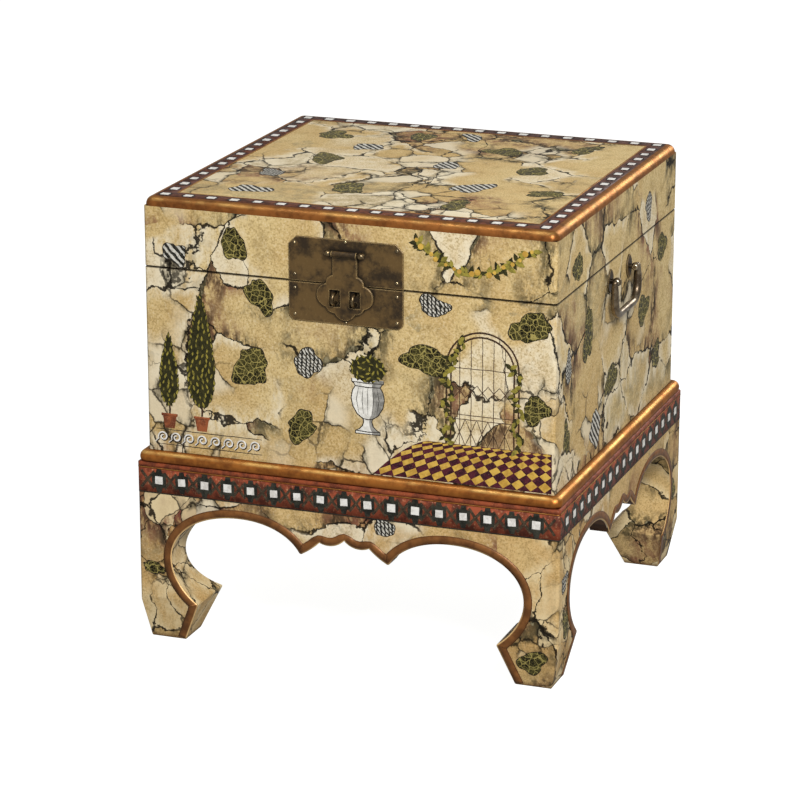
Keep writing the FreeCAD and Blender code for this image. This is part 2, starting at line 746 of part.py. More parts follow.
def leaf_levels(part):
    """Lowest and highest level of a hinge leaf on the case or on the lid."""
    if part == "case":
        return CASE_TOP_Z - HINGE_LEAF_T, CASE_TOP_Z
    return LID_BASE_Z, LID_BASE_Z + HINGE_LEAF_T


def hinge_mortises(part):
    """What is cut for the hinges in the case's back or in the lid's back rail."""
    low, high = leaf_levels(part)
    tools = []
    for side in (-1, 1):
        x = side * HINGE_X
        tools.append(block(x - HINGE_L / 2 - MORTISE_FIT, x + HINGE_L / 2 + MORTISE_FIT,
                           BOX_D / 2 - HINGE_LEAF_W - MORTISE_FIT, BOX_D / 2, low, high))
        tools += leaf_screws(part, x, screw_hole(HINGE_SCREW_L))
    return tools


def leaf_screws(part, x, shape):
    """Copies of a screw, or of its hole, along the leaf that stands at x."""
    low, high = leaf_levels(part)
    level, facing = (high, UP) if part == "case" else (low, vec(0, 0, -1))
    y = BOX_D / 2 - HINGE_LEAF_W / 2
    pitch = HINGE_L / SCREWS_PER_LEAF
    return [placed(shape, vec(x + pitch * (k - (SCREWS_PER_LEAF - 1) / 2), y, level), facing)
            for k in range(SCREWS_PER_LEAF)]


def make_hinge_leaf(part, x):
    """One leaf with its share of the knuckles: the odd ones on the case, the even ones on the lid."""
    low, high = leaf_levels(part)
    first = x - HINGE_L / 2
    pieces = [block(first, first + HINGE_L, BOX_D / 2 - HINGE_LEAF_W, BOX_D / 2, low, high)]
    pitch = HINGE_L / KNUCKLES
    for k in range(0 if part == "case" else 1, KNUCKLES, 2):
        start = first + k * pitch + KNUCKLE_GAP / 2
        width = pitch - KNUCKLE_GAP
        pieces.append(block(start, start + width, BOX_D / 2, HINGE_Y, low, high))
        pieces.append(rod(KNUCKLE_R, vec(start, HINGE_Y, SEAM_Z), width, ACROSS))
    bore = rod(HINGE_PIN_R + PIN_FIT, vec(first, HINGE_Y, SEAM_Z), HINGE_L, ACROSS)
    return cut(joined(pieces), [bore] + leaf_screws(part, x, screw_hole(HINGE_SCREW_L)))


def make_hinges():
    """Two butt hinges with their pins and screws."""
    pieces = {}
    for name, side in (("left", -1), ("right", 1)):
        x = side * HINGE_X
        for part in ("case", "lid"):
            pieces[f"{name}_hinge_{part}_leaf"] = make_hinge_leaf(part, x)
        pieces[name + "_hinge_pin"] = rod(HINGE_PIN_R, vec(x - HINGE_L / 2, HINGE_Y, SEAM_Z), HINGE_L, ACROSS)
    for part in ("case", "lid"):
        screw = countersunk_screw(HINGE_SCREW_L)
        pieces[f"hinge_{part}_screws"] = group([s for side in (-1, 1)
                                                for s in leaf_screws(part, side * HINGE_X, screw)])
    return pieces


# Handles on the sides

def side_point(y, z, outward):
    """A point that stands off the chest's right side by the distance outward."""
    return vec(BOX_W / 2 + outward, y, z)


def handle_stem_holes():
    """Holes for the posts of a handle in the right side."""
    return [rod(HANDLE_STEM_R + SEAT_FIT, side_point(end * HANDLE_SPACING / 2, HANDLE_Z, -HANDLE_STEM_DEPTH),
                HANDLE_STEM_DEPTH, ACROSS) for end in (-1, 1)]


def make_rosette(y):
    """A pointed oval plate behind a handle's post."""
    top = side_point(y, HANDLE_Z + ROSETTE_H / 2, 0)
    base = side_point(y, HANDLE_Z - ROSETTE_H / 2, 0)
    outline = face_of([arc(base, side_point(y + ROSETTE_W / 2, HANDLE_Z, 0), top),
                       arc(top, side_point(y - ROSETTE_W / 2, HANDLE_Z, 0), base)])
    hole = rod(HANDLE_STEM_R + SEAT_FIT, side_point(y, HANDLE_Z, 0), ROSETTE_T, ACROSS)
    return outline.extrude(vec(ROSETTE_T, 0, 0)).cut(hole)


def make_handle_post(y):
    """A ball-headed post through a rosette, cross-drilled for the bail's end."""
    stem = rod(HANDLE_STEM_R, side_point(y, HANDLE_Z, -HANDLE_STEM_DEPTH),
               HANDLE_STEM_DEPTH + HANDLE_STANDOFF, ACROSS)
    ball = Part.makeSphere(HANDLE_BALL_R, side_point(y, HANDLE_Z, HANDLE_STANDOFF), vec(0, 1, 0))
    hole = rod(BAIL_PIVOT_R + PIN_FIT, side_point(y - HANDLE_BALL_R, HANDLE_Z, HANDLE_STANDOFF),
               2 * HANDLE_BALL_R, vec(0, 1, 0))
    return joined([stem, ball]).cut(hole)


def rounded_path(points, radius):
    """Straight runs through the points, joined by tangent arcs of one radius."""
    edges = []
    start = points[0]
    for before, corner, after in zip(points, points[1:], points[2:]):
        back = (before - corner).normalize()
        ahead = (after - corner).normalize()
        half_angle = back.getAngle(ahead) / 2
        leg = radius / math.tan(half_angle)
        enter = corner + back * leg
        leave = corner + ahead * leg
        towards = (back + ahead).normalize()
        middle = corner + towards * (radius / math.sin(half_angle) - radius)
        edges += [line(start, enter), arc(enter, middle, leave)]
        start = leave
    edges.append(line(start, points[-1]))
    return Part.Wire(edges)


def make_bail():
    """A drooping bail that swells at its corners and whose ends turn in through both posts of the
    right-hand handle."""
    arm_y = HANDLE_SPACING / 2 + HANDLE_BALL_R + BAIL_ARM_GAP + BAIL_END_R

    def at(y, drop):
        return side_point(y, HANDLE_Z - drop, HANDLE_STANDOFF)

    def section(radius, centre, facing):
        return Part.Wire(Part.makeCircle(radius, centre, facing))
    spine = rounded_path([at(-arm_y, 0), at(-arm_y, BAIL_REACH), at(arm_y, BAIL_REACH), at(arm_y, 0)],
                         BAIL_BEND_R)
    inward = BAIL_BEND_R * (1 - math.sqrt(0.5))
    sections = [section(BAIL_END_R, at(-arm_y, 0), vec(0, 0, -1)),
                section(BAIL_CORNER_R, at(-arm_y + inward, BAIL_REACH - inward), vec(0, 1, -1)),
                section(BAIL_GRIP_R, at(0, BAIL_REACH), vec(0, 1, 0)),
                section(BAIL_CORNER_R, at(arm_y - inward, BAIL_REACH - inward), vec(0, 1, 1)),
                section(BAIL_END_R, at(arm_y, 0), vec(0, 0, 1))]
    loop = spine.makePipeShell(sections, True, False)
    pivot_l = arm_y - HANDLE_SPACING / 2 + HANDLE_BALL_R
    ends = []
    for end in (-1, 1):
        ends.append(Part.makeSphere(BAIL_END_R, at(end * arm_y, 0), vec(0, 1, 0)))
        ends.append(rod(BAIL_PIVOT_R, at(end * arm_y, 0), pivot_l, vec(0, -end, 0)))
    return joined([loop] + ends)


def make_handles():
    """Both side handles: rosettes, posts and the bail that swings in them."""
    ends = [end * HANDLE_SPACING / 2 for end in (-1, 1)]
    right = {
        "handle_rosettes": group([make_rosette(y) for y in ends]),
        "handle_posts": group([make_handle_post(y) for y in ends]),
        "handle_bail": make_bail(),
    }
    pieces = {}
    for name, angle in (("right", 0), ("left", 180)):
        for piece, shape in right.items():
            pieces[f"{name}_{piece}"] = turned(shape, angle)
    return pieces


def main():
    """Builds every piece and writes one file for each node."""
    pieces = {}
    for make in (make_case_boards, make_lid_boards, make_stand, make_lock, make_hinges, make_handles):
        pieces.update(make())
    os.makedirs("parts", exist_ok=True)
    for name, shape in pieces.items():
        if not shape.isValid() or not shape.Solids:
            raise ValueError(f"{name} is not a sound solid")
        shape.exportStep(os.path.join("parts", name + ".step"))
    print(f"{len(pieces)} nodes, {sum(len(s.Solids) for s in pieces.values())} solids")


main()
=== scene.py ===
"""Looks of a painted storage chest on a hoof-footed stand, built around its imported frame."""

import logging
import math
import random
from dataclasses import dataclass, field
from enum import Enum
from typing import Iterable, Sequence

import bmesh
import bpy
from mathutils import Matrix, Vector


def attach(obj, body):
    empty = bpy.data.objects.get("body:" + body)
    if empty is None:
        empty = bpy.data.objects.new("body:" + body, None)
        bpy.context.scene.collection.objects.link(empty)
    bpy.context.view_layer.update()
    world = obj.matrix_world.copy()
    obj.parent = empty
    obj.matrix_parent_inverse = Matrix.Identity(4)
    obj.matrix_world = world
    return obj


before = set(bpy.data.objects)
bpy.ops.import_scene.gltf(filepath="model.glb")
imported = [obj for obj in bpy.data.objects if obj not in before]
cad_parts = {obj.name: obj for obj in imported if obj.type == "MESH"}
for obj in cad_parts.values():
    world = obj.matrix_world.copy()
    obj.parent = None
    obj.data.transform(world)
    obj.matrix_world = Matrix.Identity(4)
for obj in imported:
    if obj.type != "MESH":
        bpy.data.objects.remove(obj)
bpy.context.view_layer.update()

MM = 0.001
WELD = 1e-6

Colour = tuple[float, float, float, float]
Flat = tuple[float, float]
Value = bpy.types.NodeSocket | float | Sequence[float]
Plate = tuple[Sequence[Vector], Vector]

log = logging.getLogger("chest")


def tint(red: float, green: float, blue: float) -> Colour:
    """Turns a swatch into linear light.

    Args:
        red: Red of the swatch, 0 to 255.
        green: Green of the swatch, 0 to 255.
        blue: Blue of the swatch, 0 to 255.

    Returns:
        The colour as linear red, green, blue and a full alpha.
    """
    parts = [v / 255.0 for v in (red, green, blue)]
    linear = [v / 12.92 if v <= 0.04045 else ((v + 0.055) / 1.055) ** 2.4 for v in parts]
    return (linear[0], linear[1], linear[2], 1.0)


class Body(Enum):
    """The bodies that carry painted pieces."""

    CASE = "case"
    LID = "lid"


class Slot(Enum):
    """Two of the record's finishes, by name."""

    PAINT = "crackled_paint"
    COPPER = "copper_paint"


class Side(Enum):
    """The four upright sides, by their turn from the front in degrees."""

    FRONT = 0.0
    RIGHT = 90.0
    BACK = 180.0
    LEFT = 270.0

    @property
    def turn(self) -> float:
        """The turn from the front, in radians."""
        return math.radians(self.value)

    @property
    def label(self) -> str:
        """The side's name as the nodes spell it."""
        return self.name.lower()

    def place(self, along: float, out: float, up: float) -> Vector:
        """Places a point on this side.

        Args:
            along: Distance to the right of the side's middle, as one faces it, mm.
            out: Distance from the chest's upright axis, mm.
            up: Height above the floor, mm.

        Returns:
            The point in metres.
        """
        cos, sin = math.cos(self.turn), math.sin(self.turn)
        return Vector((along * cos + out * sin, along * sin - out * cos, up)) * MM


class ShaderGraph:
    """A material's nodes, with a short call for each kind that the finishes use."""

    def __init__(self, name: str) -> None:
        """Starts an empty material of that name."""
        self.material = bpy.data.materials.new(name)
        self.material.use_nodes = True
        self.tree = self.material.node_tree
        self.tree.nodes.clear()
        self.coordinates = self.tree.nodes.new("ShaderNodeTexCoord")

    def feed(self, socket: bpy.types.NodeSocket, value: Value) -> None:
        """Links a socket to another one, or sets it."""
        if isinstance(value, bpy.types.NodeSocket):
            self.tree.links.new(value, socket)
        else:
            socket.default_value = value

    def add(self, kind: str, inputs: dict[int | str, Value], **settings: object) -> bpy.types.Node:
        """Adds a node.

        Args:
            kind: The node's type.
            inputs: What goes into its sockets, by name or place.
            **settings: The node's own options.

        Returns:
            The node.
        """
        node = self.tree.nodes.new(kind)
        for key, option in settings.items():
            setattr(node, key, option)
        for key, value in inputs.items():
            self.feed(node.inputs[key], value)
        return node

    def place(self) -> bpy.types.NodeSocket:
        """Where the surface is, in the piece's own coordinates."""
        return self.coordinates.outputs["Object"]

    def facing(self) -> bpy.types.NodeSocket:
        """Which way the surface faces, in the piece's own coordinates."""
        return self.coordinates.outputs["Normal"]

    def math(self, operation: str, a: Value, b: Value = 0.0) -> bpy.types.NodeSocket:
        """One step of arithmetic."""
        return self.add("ShaderNodeMath", {0: a, 1: b}, operation=operation).outputs[0]

    def times(self, *factors: Value) -> bpy.types.NodeSocket:
        """The product of several values."""
        product = factors[0]
        for factor in factors[1:]:
            product = self.math("MULTIPLY", product, factor)
        return product

    def vector(self, operation: str, a: Value, b: Value) -> bpy.types.NodeSocket:
        """One step of arithmetic on vectors."""
        return self.add("ShaderNodeVectorMath", {0: a, 1: b}, operation=operation).outputs[0]

    def split(self, vector: Value) -> list[bpy.types.NodeSocket]:
        """The three parts of a vector or a colour."""
        return list(self.add("ShaderNodeSeparateXYZ", {0: vector}).outputs)

    def noise(self, where: Value, scale: float, detail: float = 2.0,
              rough: float = 0.5) -> bpy.types.NodeSocket:
        """Cloudy noise.

        Args:
            where: The coordinates.
            scale: Clouds per metre.
            detail: How many finer layers it has.
            rough: How strong the finer layers are.

        Returns:
            A value about 0.5.
        """
        sizes = {"Vector": where, "Scale": scale, "Detail": detail, "Roughness": rough}
        return self.add("ShaderNodeTexNoise", sizes).outputs["Fac"]

    def bent(self, where: Value, scale: float, reach: float, detail: float) -> bpy.types.NodeSocket:
        """Coordinates that wander by up to half of reach, so that straight things turn ragged.

        Args:
            where: The coordinates.
            scale: Bends per metre.
            reach: How far they wander in all, m.
            detail: How many finer layers the bends have.

        Returns:
            The new coordinates.
        """
        sizes = {"Vector": where, "Scale": scale, "Detail": detail, "Roughness": 0.6}
        cloud = self.add("ShaderNodeTexNoise", sizes).outputs["Color"]
        centred = self.vector("SUBTRACT", cloud, (0.5, 0.5, 0.5))
        return self.vector("ADD", where, self.vector("MULTIPLY", centred, (reach, reach, reach)))

    def cells(self, where: Value, scale: float, feature: str = "F1") -> bpy.types.Node:
        """Cells that share out space around scattered points."""
        return self.add("ShaderNodeTexVoronoi", {"Vector": where, "Scale": scale}, feature=feature)

    def fade(self, value: Value, low: Value, high: Value, start: float = 0.0,
             end: float = 1.0) -> bpy.types.NodeSocket:
        """A soft step.

        Args:
            value: What is looked at.
            low: Where the step begins.
            high: Where it ends.
            start: The result below the step.
            end: The result above it.

        Returns:
            The stepped value.
        """
        inputs = {0: value, 1: low, 2: high, 3: start, 4: end}
        return self.add("ShaderNodeMapRange", inputs, interpolation_type="SMOOTHSTEP").outputs[0]

    def blend(self, share: Value, a: Value, b: Value) -> bpy.types.NodeSocket:
        """Mixes two colours."""
        return self.add("ShaderNodeMix", {0: share, 6: a, 7: b}, data_type="RGBA").outputs[2]

    def bump(self, height: Value, strength: float, depth: float) -> bpy.types.NodeSocket:
        """A surface that is raised by a height."""
        return self.add("ShaderNodeBump", {"Height": height, "Strength": strength,
                                           "Distance": depth}).outputs[0]

    def edges(self, radius: float) -> bpy.types.NodeSocket:
        """How near a sharp edge is, from 0 to 1."""
        soft = self.add("ShaderNodeBevel", {"Radius": radius}, samples=6).outputs[0]
        flat = self.add("ShaderNodeNewGeometry", {}).outputs["Normal"]
        match = self.add("ShaderNodeVectorMath", {0: soft, 1: flat}, operation="DOT_PRODUCT").outputs["Value"]
        return self.fade(match, 0.80, 0.985, 1.0, 0.0)

    def creases(self, reach: float) -> bpy.types.NodeSocket:
        """How deep a point lies in a crease, from 0 to 1, by ambient occlusion: a mask for painted shade."""
        open_sky = self.add("ShaderNodeAmbientOcclusion", {"Distance": reach}, samples=8).outputs["AO"]
        return self.fade(open_sky, 0.45, 0.92, 1.0, 0.0)

    def close(self, inputs: dict[str, Value]) -> bpy.types.Material:
        """Ends the graph in a surface with these inputs and returns the material."""
        surface = self.add("ShaderNodeBsdfPrincipled", inputs)
        output = self.tree.nodes.new("ShaderNodeOutputMaterial")
        self.tree.links.new(surface.outputs[0], output.inputs["Surface"])
        return self.material


@dataclass(frozen=True)
class Finish:
    """A surface finish, whose material is made once."""

    name: str

    def material(self) -> bpy.types.Material:
        """The material, made on first use."""
        return bpy.data.materials.get(self.name) or self.make()

    def make(self) -> bpy.types.Material:
        """Builds the material."""
        raise NotImplementedError


@dataclass(frozen=True)
class StainedWood(Finish):
    """Dark stained boards with the grain along one axis."""

    light: Colour = tint(92, 62, 38)
    dark: Colour = tint(52, 33, 21)
    pore: Colour = tint(34, 22, 14)
    grain: tuple[float, float, float] = (6.0, 90.0, 90.0)

    def make(self) -> bpy.types.Material:
        """Builds the streaked stain."""
        graph = ShaderGraph(self.name)
        along = graph.vector("MULTIPLY", graph.place(), self.grain)
        streak = graph.noise(along, 1.0, 5.0, 0.62)
        pores = graph.noise(along, 7.0, 2.0, 0.5)
        colour = graph.blend(graph.fade(streak, 0.34, 0.66), self.dark, self.light)
        colour = graph.blend(graph.fade(pores, 0.56, 0.72, 0.0, 0.5), colour, self.pore)
        return graph.close({
            "Base Color": colour,
            "Roughness": graph.fade(streak, 0.3, 0.7, 0.46, 0.62),
            "Normal": graph.bump(pores, 0.25, 0.0004),
        })


@dataclass(frozen=True)
class CrackledPlaster(Finish):
    """Painted stone and crackled plaster, with ragged cracks, smudges and stains.

    A painted shell may be given as the half width, half depth and top of a box, in metres: what lies
    inside that box is plain dark wood.
    """

    shell: tuple[float, float, float] | None = None
    ground: Colour = tint(202, 178, 126)
    warm: Colour = tint(190, 160, 106)
    dusk: Colour = tint(138, 114, 70)
    pale: Colour = tint(218, 206, 178)
    grey: Colour = tint(138, 128, 99)
    smoke: Colour = tint(56, 52, 36)
    rust: Colour = tint(108, 58, 50)
    ink: Colour = tint(22, 17, 12)
    wood: tuple[Colour, Colour] = (tint(50, 32, 21), tint(88, 59, 37))
    stones_per_m: float = 13.0
    pebbles_per_m: float = 27.0
    glaze: Colour = tint(92, 64, 36)
    glazed: bool = False
    seam: float | None = None

    def make(self) -> bpy.types.Material:
        """Builds the ground, then stones, cracks and grain over it."""
        graph = ShaderGraph(self.name)
        place = graph.place()
        mottle = graph.noise(place, 60.0, 5.0, 0.68)
        grain = graph.noise(place, 520.0, 3.0, 0.65)
        colour = self._ground(graph, place, mottle)
        colour, line = self._cracks(graph, place, mottle, grain, colour)
        colour = self._inside(graph, place, self._seam(graph, place, self._glaze(graph, place, colour)))
        height = graph.math("SUBTRACT", graph.times(grain, 0.2), line)
        return graph.close({
            "Base Color": colour,
            "Roughness": graph.fade(mottle, 0.3, 0.7, 0.42, 0.58),
            "Normal": graph.bump(height, 0.3, 0.0006),
            "Specular IOR Level": 0.06,
        })

    def _ground(self, graph: ShaderGraph, place: Value, mottle: Value) -> bpy.types.NodeSocket:
        """The cream ground with warmer clouds and dusty spots."""
        cloud = graph.noise(place, 7.0, 4.0, 0.6)
        colour = graph.blend(graph.fade(cloud, 0.38, 0.62), self.ground, self.warm)
        return graph.blend(graph.fade(mottle, 0.48, 0.74, 0.0, 0.55), colour, self.dusk)

    def _cracks(self, graph: ShaderGraph, place: Value, mottle: Value, grain: Value,
                colour: Value) -> tuple[bpy.types.NodeSocket, bpy.types.NodeSocket]:
        """Pale flakes over a shaded ground, with thin ragged cracks between them and pebbles here and there.

        Args:
            graph: The material's nodes.
            place: The surface's coordinates.
            mottle: Fine clouds that break up the brushwork.
            grain: The finest specks.
            colour: The ground.

        Returns:
            The new colour, and how deep in a crack a point is.
        """
        per_m = self.stones_per_m
        bent = graph.bent(place, 17.0, 0.048, 5.0)
        edge = graph.cells(bent, per_m, "DISTANCE_TO_EDGE").outputs[0]
        stone = graph.split(graph.cells(bent, per_m).outputs["Color"])
        raised = graph.fade(stone[2], 0.49, 0.51)
        ground = graph.math("SUBTRACT", 1.0, raised)
        present = graph.fade(graph.noise(place, 9.0, 2.0), 0.40, 0.47)
        brush = graph.noise(graph.vector("MULTIPLY", place, (1.0, 1.0, 0.42)), 85.0, 6.0, 0.74)
        swell = graph.noise(place, 24.0, 3.0, 0.6)

        def near(reach: float) -> bpy.types.NodeSocket:
            """How near the crack is, over that reach in metres."""
            return graph.fade(edge, 0.0, reach * per_m, 1.0, 0.0)

        flaked = graph.times(raised, present, graph.fade(stone[0], 0.58, 0.62),
                             graph.fade(mottle, 0.30, 0.60, 0.9, 0.4))
        colour = graph.blend(flaked, colour, self.pale)
        greyed = graph.times(graph.fade(stone[1], 0.84, 0.87), graph.fade(mottle, 0.34, 0.66, 0.05, 0.6))
        colour = graph.blend(greyed, colour, self.grey)
        colour = graph.blend(graph.fade(grain, 0.47, 0.66, 0.0, 0.65), colour, self.dusk)
        colour = graph.blend(graph.fade(grain, 0.32, 0.46, 0.36, 0.0), colour, self.pale)
        blotched = graph.times(graph.fade(graph.noise(place, 6.5, 3.0), 0.62, 0.72),
                               graph.fade(brush, 0.40, 0.62))
        colour = graph.blend(graph.times(blotched, 0.7), colour, self.rust)
        stained = graph.times(near(0.034), ground, graph.fade(graph.noise(place, 8.5, 2.0), 0.47, 0.57),
                              graph.fade(brush, 0.36, 0.58))
        colour = graph.blend(graph.times(stained, 0.85), colour, self.rust)
        smudged = graph.times(near(0.023), ground, present, graph.fade(swell, 0.35, 0.53),
                              graph.fade(brush, 0.40, 0.57))
        colour = graph.blend(graph.times(smudged, 0.9), colour, self.smoke)
        shining = graph.times(near(0.014), raised, present, graph.fade(brush, 0.66, 0.40))
        colour = graph.blend(graph.times(shining, 0.9), colour, self.pale)
        colour = self._pebbles(graph, place, brush, colour)
        gape = graph.fade(swell, 0.53, 0.71, 0.0, 0.095)
        hollow = graph.times(graph.fade(edge, graph.times(gape, 0.6), gape, 1.0, 0.0), present,
                             graph.fade(ground, 0.0, 1.0, 0.25, 1.0))
        fill = graph.blend(graph.fade(brush, 0.44, 0.62), self.smoke, self.grey)
        colour = graph.blend(graph.times(hollow, 0.95), colour, fill)
        width = graph.fade(graph.noise(place, 36.0, 3.0, 0.6), 0.36, 0.70, 0.006, 0.030)
        line = graph.times(graph.fade(edge, graph.times(width, 0.4), width, 1.0, 0.0), present)
        return graph.blend(graph.times(line, 0.95), colour, self.ink), line

    def _pebbles(self, graph: ShaderGraph, place: Value, brush: Value, colour: Value) -> bpy.types.NodeSocket:
        """Clusters of small stones: some are pale, and a thin dark gap runs round each.

        Args:
            graph: The material's nodes.
            place: The surface's coordinates.
            brush: Streaky clouds that break up the brushwork.
            colour: The colour below.

        Returns:
            The new colour.
        """
        cluster = graph.fade(graph.noise(place, 7.0, 2.0), 0.53, 0.60)
        bent = graph.bent(place, 32.0, 0.024, 4.0)
        gap = graph.cells(bent, self.pebbles_per_m, "DISTANCE_TO_EDGE").outputs[0]
        pebble = graph.split(graph.cells(bent, self.pebbles_per_m).outputs["Color"])
        chosen = graph.fade(pebble[0], 0.60, 0.66, 0.0, 0.7)
        colour = graph.blend(graph.times(cluster, chosen), colour, self.pale)
        shade = graph.times(cluster, graph.fade(gap, 0.02, 0.17, 1.0, 0.0), graph.fade(pebble[1], 0.45, 0.55),
                            graph.fade(brush, 0.40, 0.60))
        colour = graph.blend(graph.times(shade, 0.8), colour, self.smoke)
        return graph.blend(graph.times(cluster, graph.fade(gap, 0.010, 0.038, 0.85, 0.0)), colour, self.ink)

    def _glaze(self, graph: ShaderGraph, place: Value, colour: Value) -> bpy.types.NodeSocket:
        """Brown glaze round the sole and along the sharp edges, where there is any."""
        if not self.glazed:
            return colour
        sole = graph.fade(graph.split(place)[2], 0.001, 0.007, 0.75, 0.0)
        rims = graph.times(graph.edges(0.002), 0.55)
        return graph.blend(graph.math("MAXIMUM", sole, rims), colour, self.glaze)

    def _seam(self, graph: ShaderGraph, place: Value, colour: Value) -> bpy.types.NodeSocket:
        """Painted shade along both lips of the seam, where there is one."""
        if self.seam is None:
            return colour
        off = graph.math("ABSOLUTE", graph.math("SUBTRACT", graph.split(place)[2], self.seam))
        # Painted shade: the lips of the seam are darkened, as if in the gap's shadow.
        return graph.blend(graph.fade(off, 0.0007, 0.0018, 0.85, 0.0), colour, self.ink)

    def _inside(self, graph: ShaderGraph, place: Value, colour: Value) -> bpy.types.NodeSocket:
        """Plain dark wood within the painted shell, where there is one."""
        if self.shell is None:
            return colour
        x, y, z = graph.split(place)
        beyond = graph.math("MAXIMUM", graph.math("SUBTRACT", graph.math("ABSOLUTE", x), self.shell[0]),
                            graph.math("SUBTRACT", graph.math("ABSOLUTE", y), self.shell[1]))
        beyond = graph.math("MAXIMUM", beyond, graph.math("SUBTRACT", z, self.shell[2]))
        turned = graph.math("GREATER_THAN", graph.math("ABSOLUTE", graph.split(graph.facing())[0]), 0.7)
        along = graph.vector("ADD", (7.0, 90.0, 90.0), graph.vector("MULTIPLY", turned, (83.0, -83.0, 0.0)))
        streak = graph.noise(graph.vector("MULTIPLY", place, along), 1.0, 5.0, 0.6)
        wood = graph.blend(graph.fade(streak, 0.35, 0.65), *self.wood)
        return graph.blend(graph.math("GREATER_THAN", beyond, 0.0), wood, colour)


@dataclass(frozen=True)
class NettedScrap(Finish):
    """An inlaid scrap: olive black under a net of yellow threads."""

    ground: Colour = tint(25, 23, 12)
    haze: Colour = tint(58, 54, 26)
    thread: Colour = tint(158, 144, 82)
    cells_per_m: float = 140.0

    def make(self) -> bpy.types.Material:
        """Builds the net from two sizes of cells."""
        graph = ShaderGraph(self.name)
        place = graph.place()
        ragged = graph.bent(place, 120.0, 0.004, 2.0)
        wide = graph.cells(ragged, self.cells_per_m, "DISTANCE_TO_EDGE").outputs[0]
        fine = graph.cells(ragged, self.cells_per_m * 2.1, "DISTANCE_TO_EDGE").outputs[0]
        threads = graph.math("MAXIMUM", graph.fade(wide, 0.02, 0.06, 0.9, 0.0),
                             graph.fade(fine, 0.02, 0.06, 0.42, 0.0))
        cloud = graph.noise(place, 70.0, 3.0)
        colour = graph.blend(graph.fade(cloud, 0.4, 0.65), self.ground, self.haze)
        colour = graph.blend(threads, colour, self.thread)
        return graph.close({"Base Color": colour, "Roughness": graph.fade(cloud, 0.3, 0.7, 0.36, 0.5),
                            "Normal": graph.bump(threads, 0.2, 0.0003), "Specular IOR Level": 0.1})


@dataclass(frozen=True)
class WovenScrap(Finish):
    """An inlaid scrap: chalk threads woven over black, or chalk stripes."""

    dark: Colour = tint(30, 30, 28)
    chalk: Colour = tint(198, 194, 182)
    dust: Colour = tint(104, 96, 78)
    threads_per_m: float = 225.0
    stripes: bool = False

    def make(self) -> bpy.types.Material:
        """Builds the threads, one way or both ways."""
        graph = ShaderGraph(self.name)
        place = graph.place()
        x, y, z = graph.split(graph.bent(place, 90.0, 0.004, 2.0))
        both = graph.math("ADD", x, y)
        ways = [graph.math("ADD", both, z)]
        if not self.stripes:
            ways.append(graph.math("SUBTRACT", x, y))
        share = None
        per_m = self.threads_per_m * (0.5 if self.stripes else 1.0)
        for way in ways:
            thread = graph.math("PINGPONG", graph.times(way, per_m), 0.5)
            line = graph.fade(thread, 0.22, 0.32) if self.stripes else graph.fade(thread, 0.16, 0.25)
            share = line if share is None else graph.math("MINIMUM", share, line)
        fine = graph.noise(place, 420.0, 3.0)
        colour = graph.blend(share, self.dark, self.chalk)
        colour = graph.blend(graph.fade(fine, 0.46, 0.66, 0.0, 0.45), colour, self.dust)
        return graph.close({"Base Color": colour, "Roughness": graph.fade(fine, 0.3, 0.7, 0.36, 0.52),
                            "Specular IOR Level": 0.1})


@dataclass(frozen=True)
class CopperTrim(Finish):
    """Copper paint with gilding and a painted highlight along the crest, and painted shade on the undersides
    and in the creases.
    """

    copper: Colour = tint(178, 110, 48)
    umber: Colour = tint(132, 76, 34)
    gold: Colour = tint(250, 208, 124)
    # Colour of the painted shade in creases and under overhangs.
    hollow: Colour = tint(44, 24, 15)
    sheen: Colour = tint(252, 236, 212)
    # How strongly the crest takes gold: gilding and a painted highlight.
    gilt: float = 0.7

    def make(self) -> bpy.types.Material:
        """Builds the rubbed copper with its painted highlight and painted shade."""
        graph = ShaderGraph(self.name)
        place = graph.place()
        up = graph.split(graph.facing())[2]
        rub = graph.noise(place, 22.0, 4.0, 0.6)
        fine = graph.noise(place, 260.0, 3.0, 0.6)
        # Gilding and painted highlight on the upward-sloping part of the round, where light would glance off
        # the crest.
        crest = graph.times(graph.fade(up, 0.42, 0.74), graph.fade(up, 0.82, 0.98, 1.0, 0.1),
                            graph.fade(rub, 0.40, 0.62, 0.15, 1.0))
        cloud = graph.noise(place, 60.0, 5.0, 0.65)
        colour = graph.blend(graph.fade(cloud, 0.36, 0.66), self.copper, self.umber)
        # Painted shade: surfaces that face downwards are darkened towards umber.
        colour = graph.blend(graph.fade(up, -0.55, -0.05, 0.7, 0.0), colour, self.umber)
        colour = graph.blend(graph.times(crest, self.gilt), colour, self.gold)
        # Painted shade: creases found by ambient occlusion are darkened.
        colour = graph.blend(graph.times(graph.creases(0.007), 0.9), colour, self.hollow)
        return graph.close({
            "Base Color": colour,
            "Metallic": 0.78,
            "Roughness": graph.fade(fine, 0.3, 0.7, 0.34, 0.46),
            "Normal": graph.bump(fine, 0.12, 0.0004),
            "Specular Tint": self.sheen,
        })


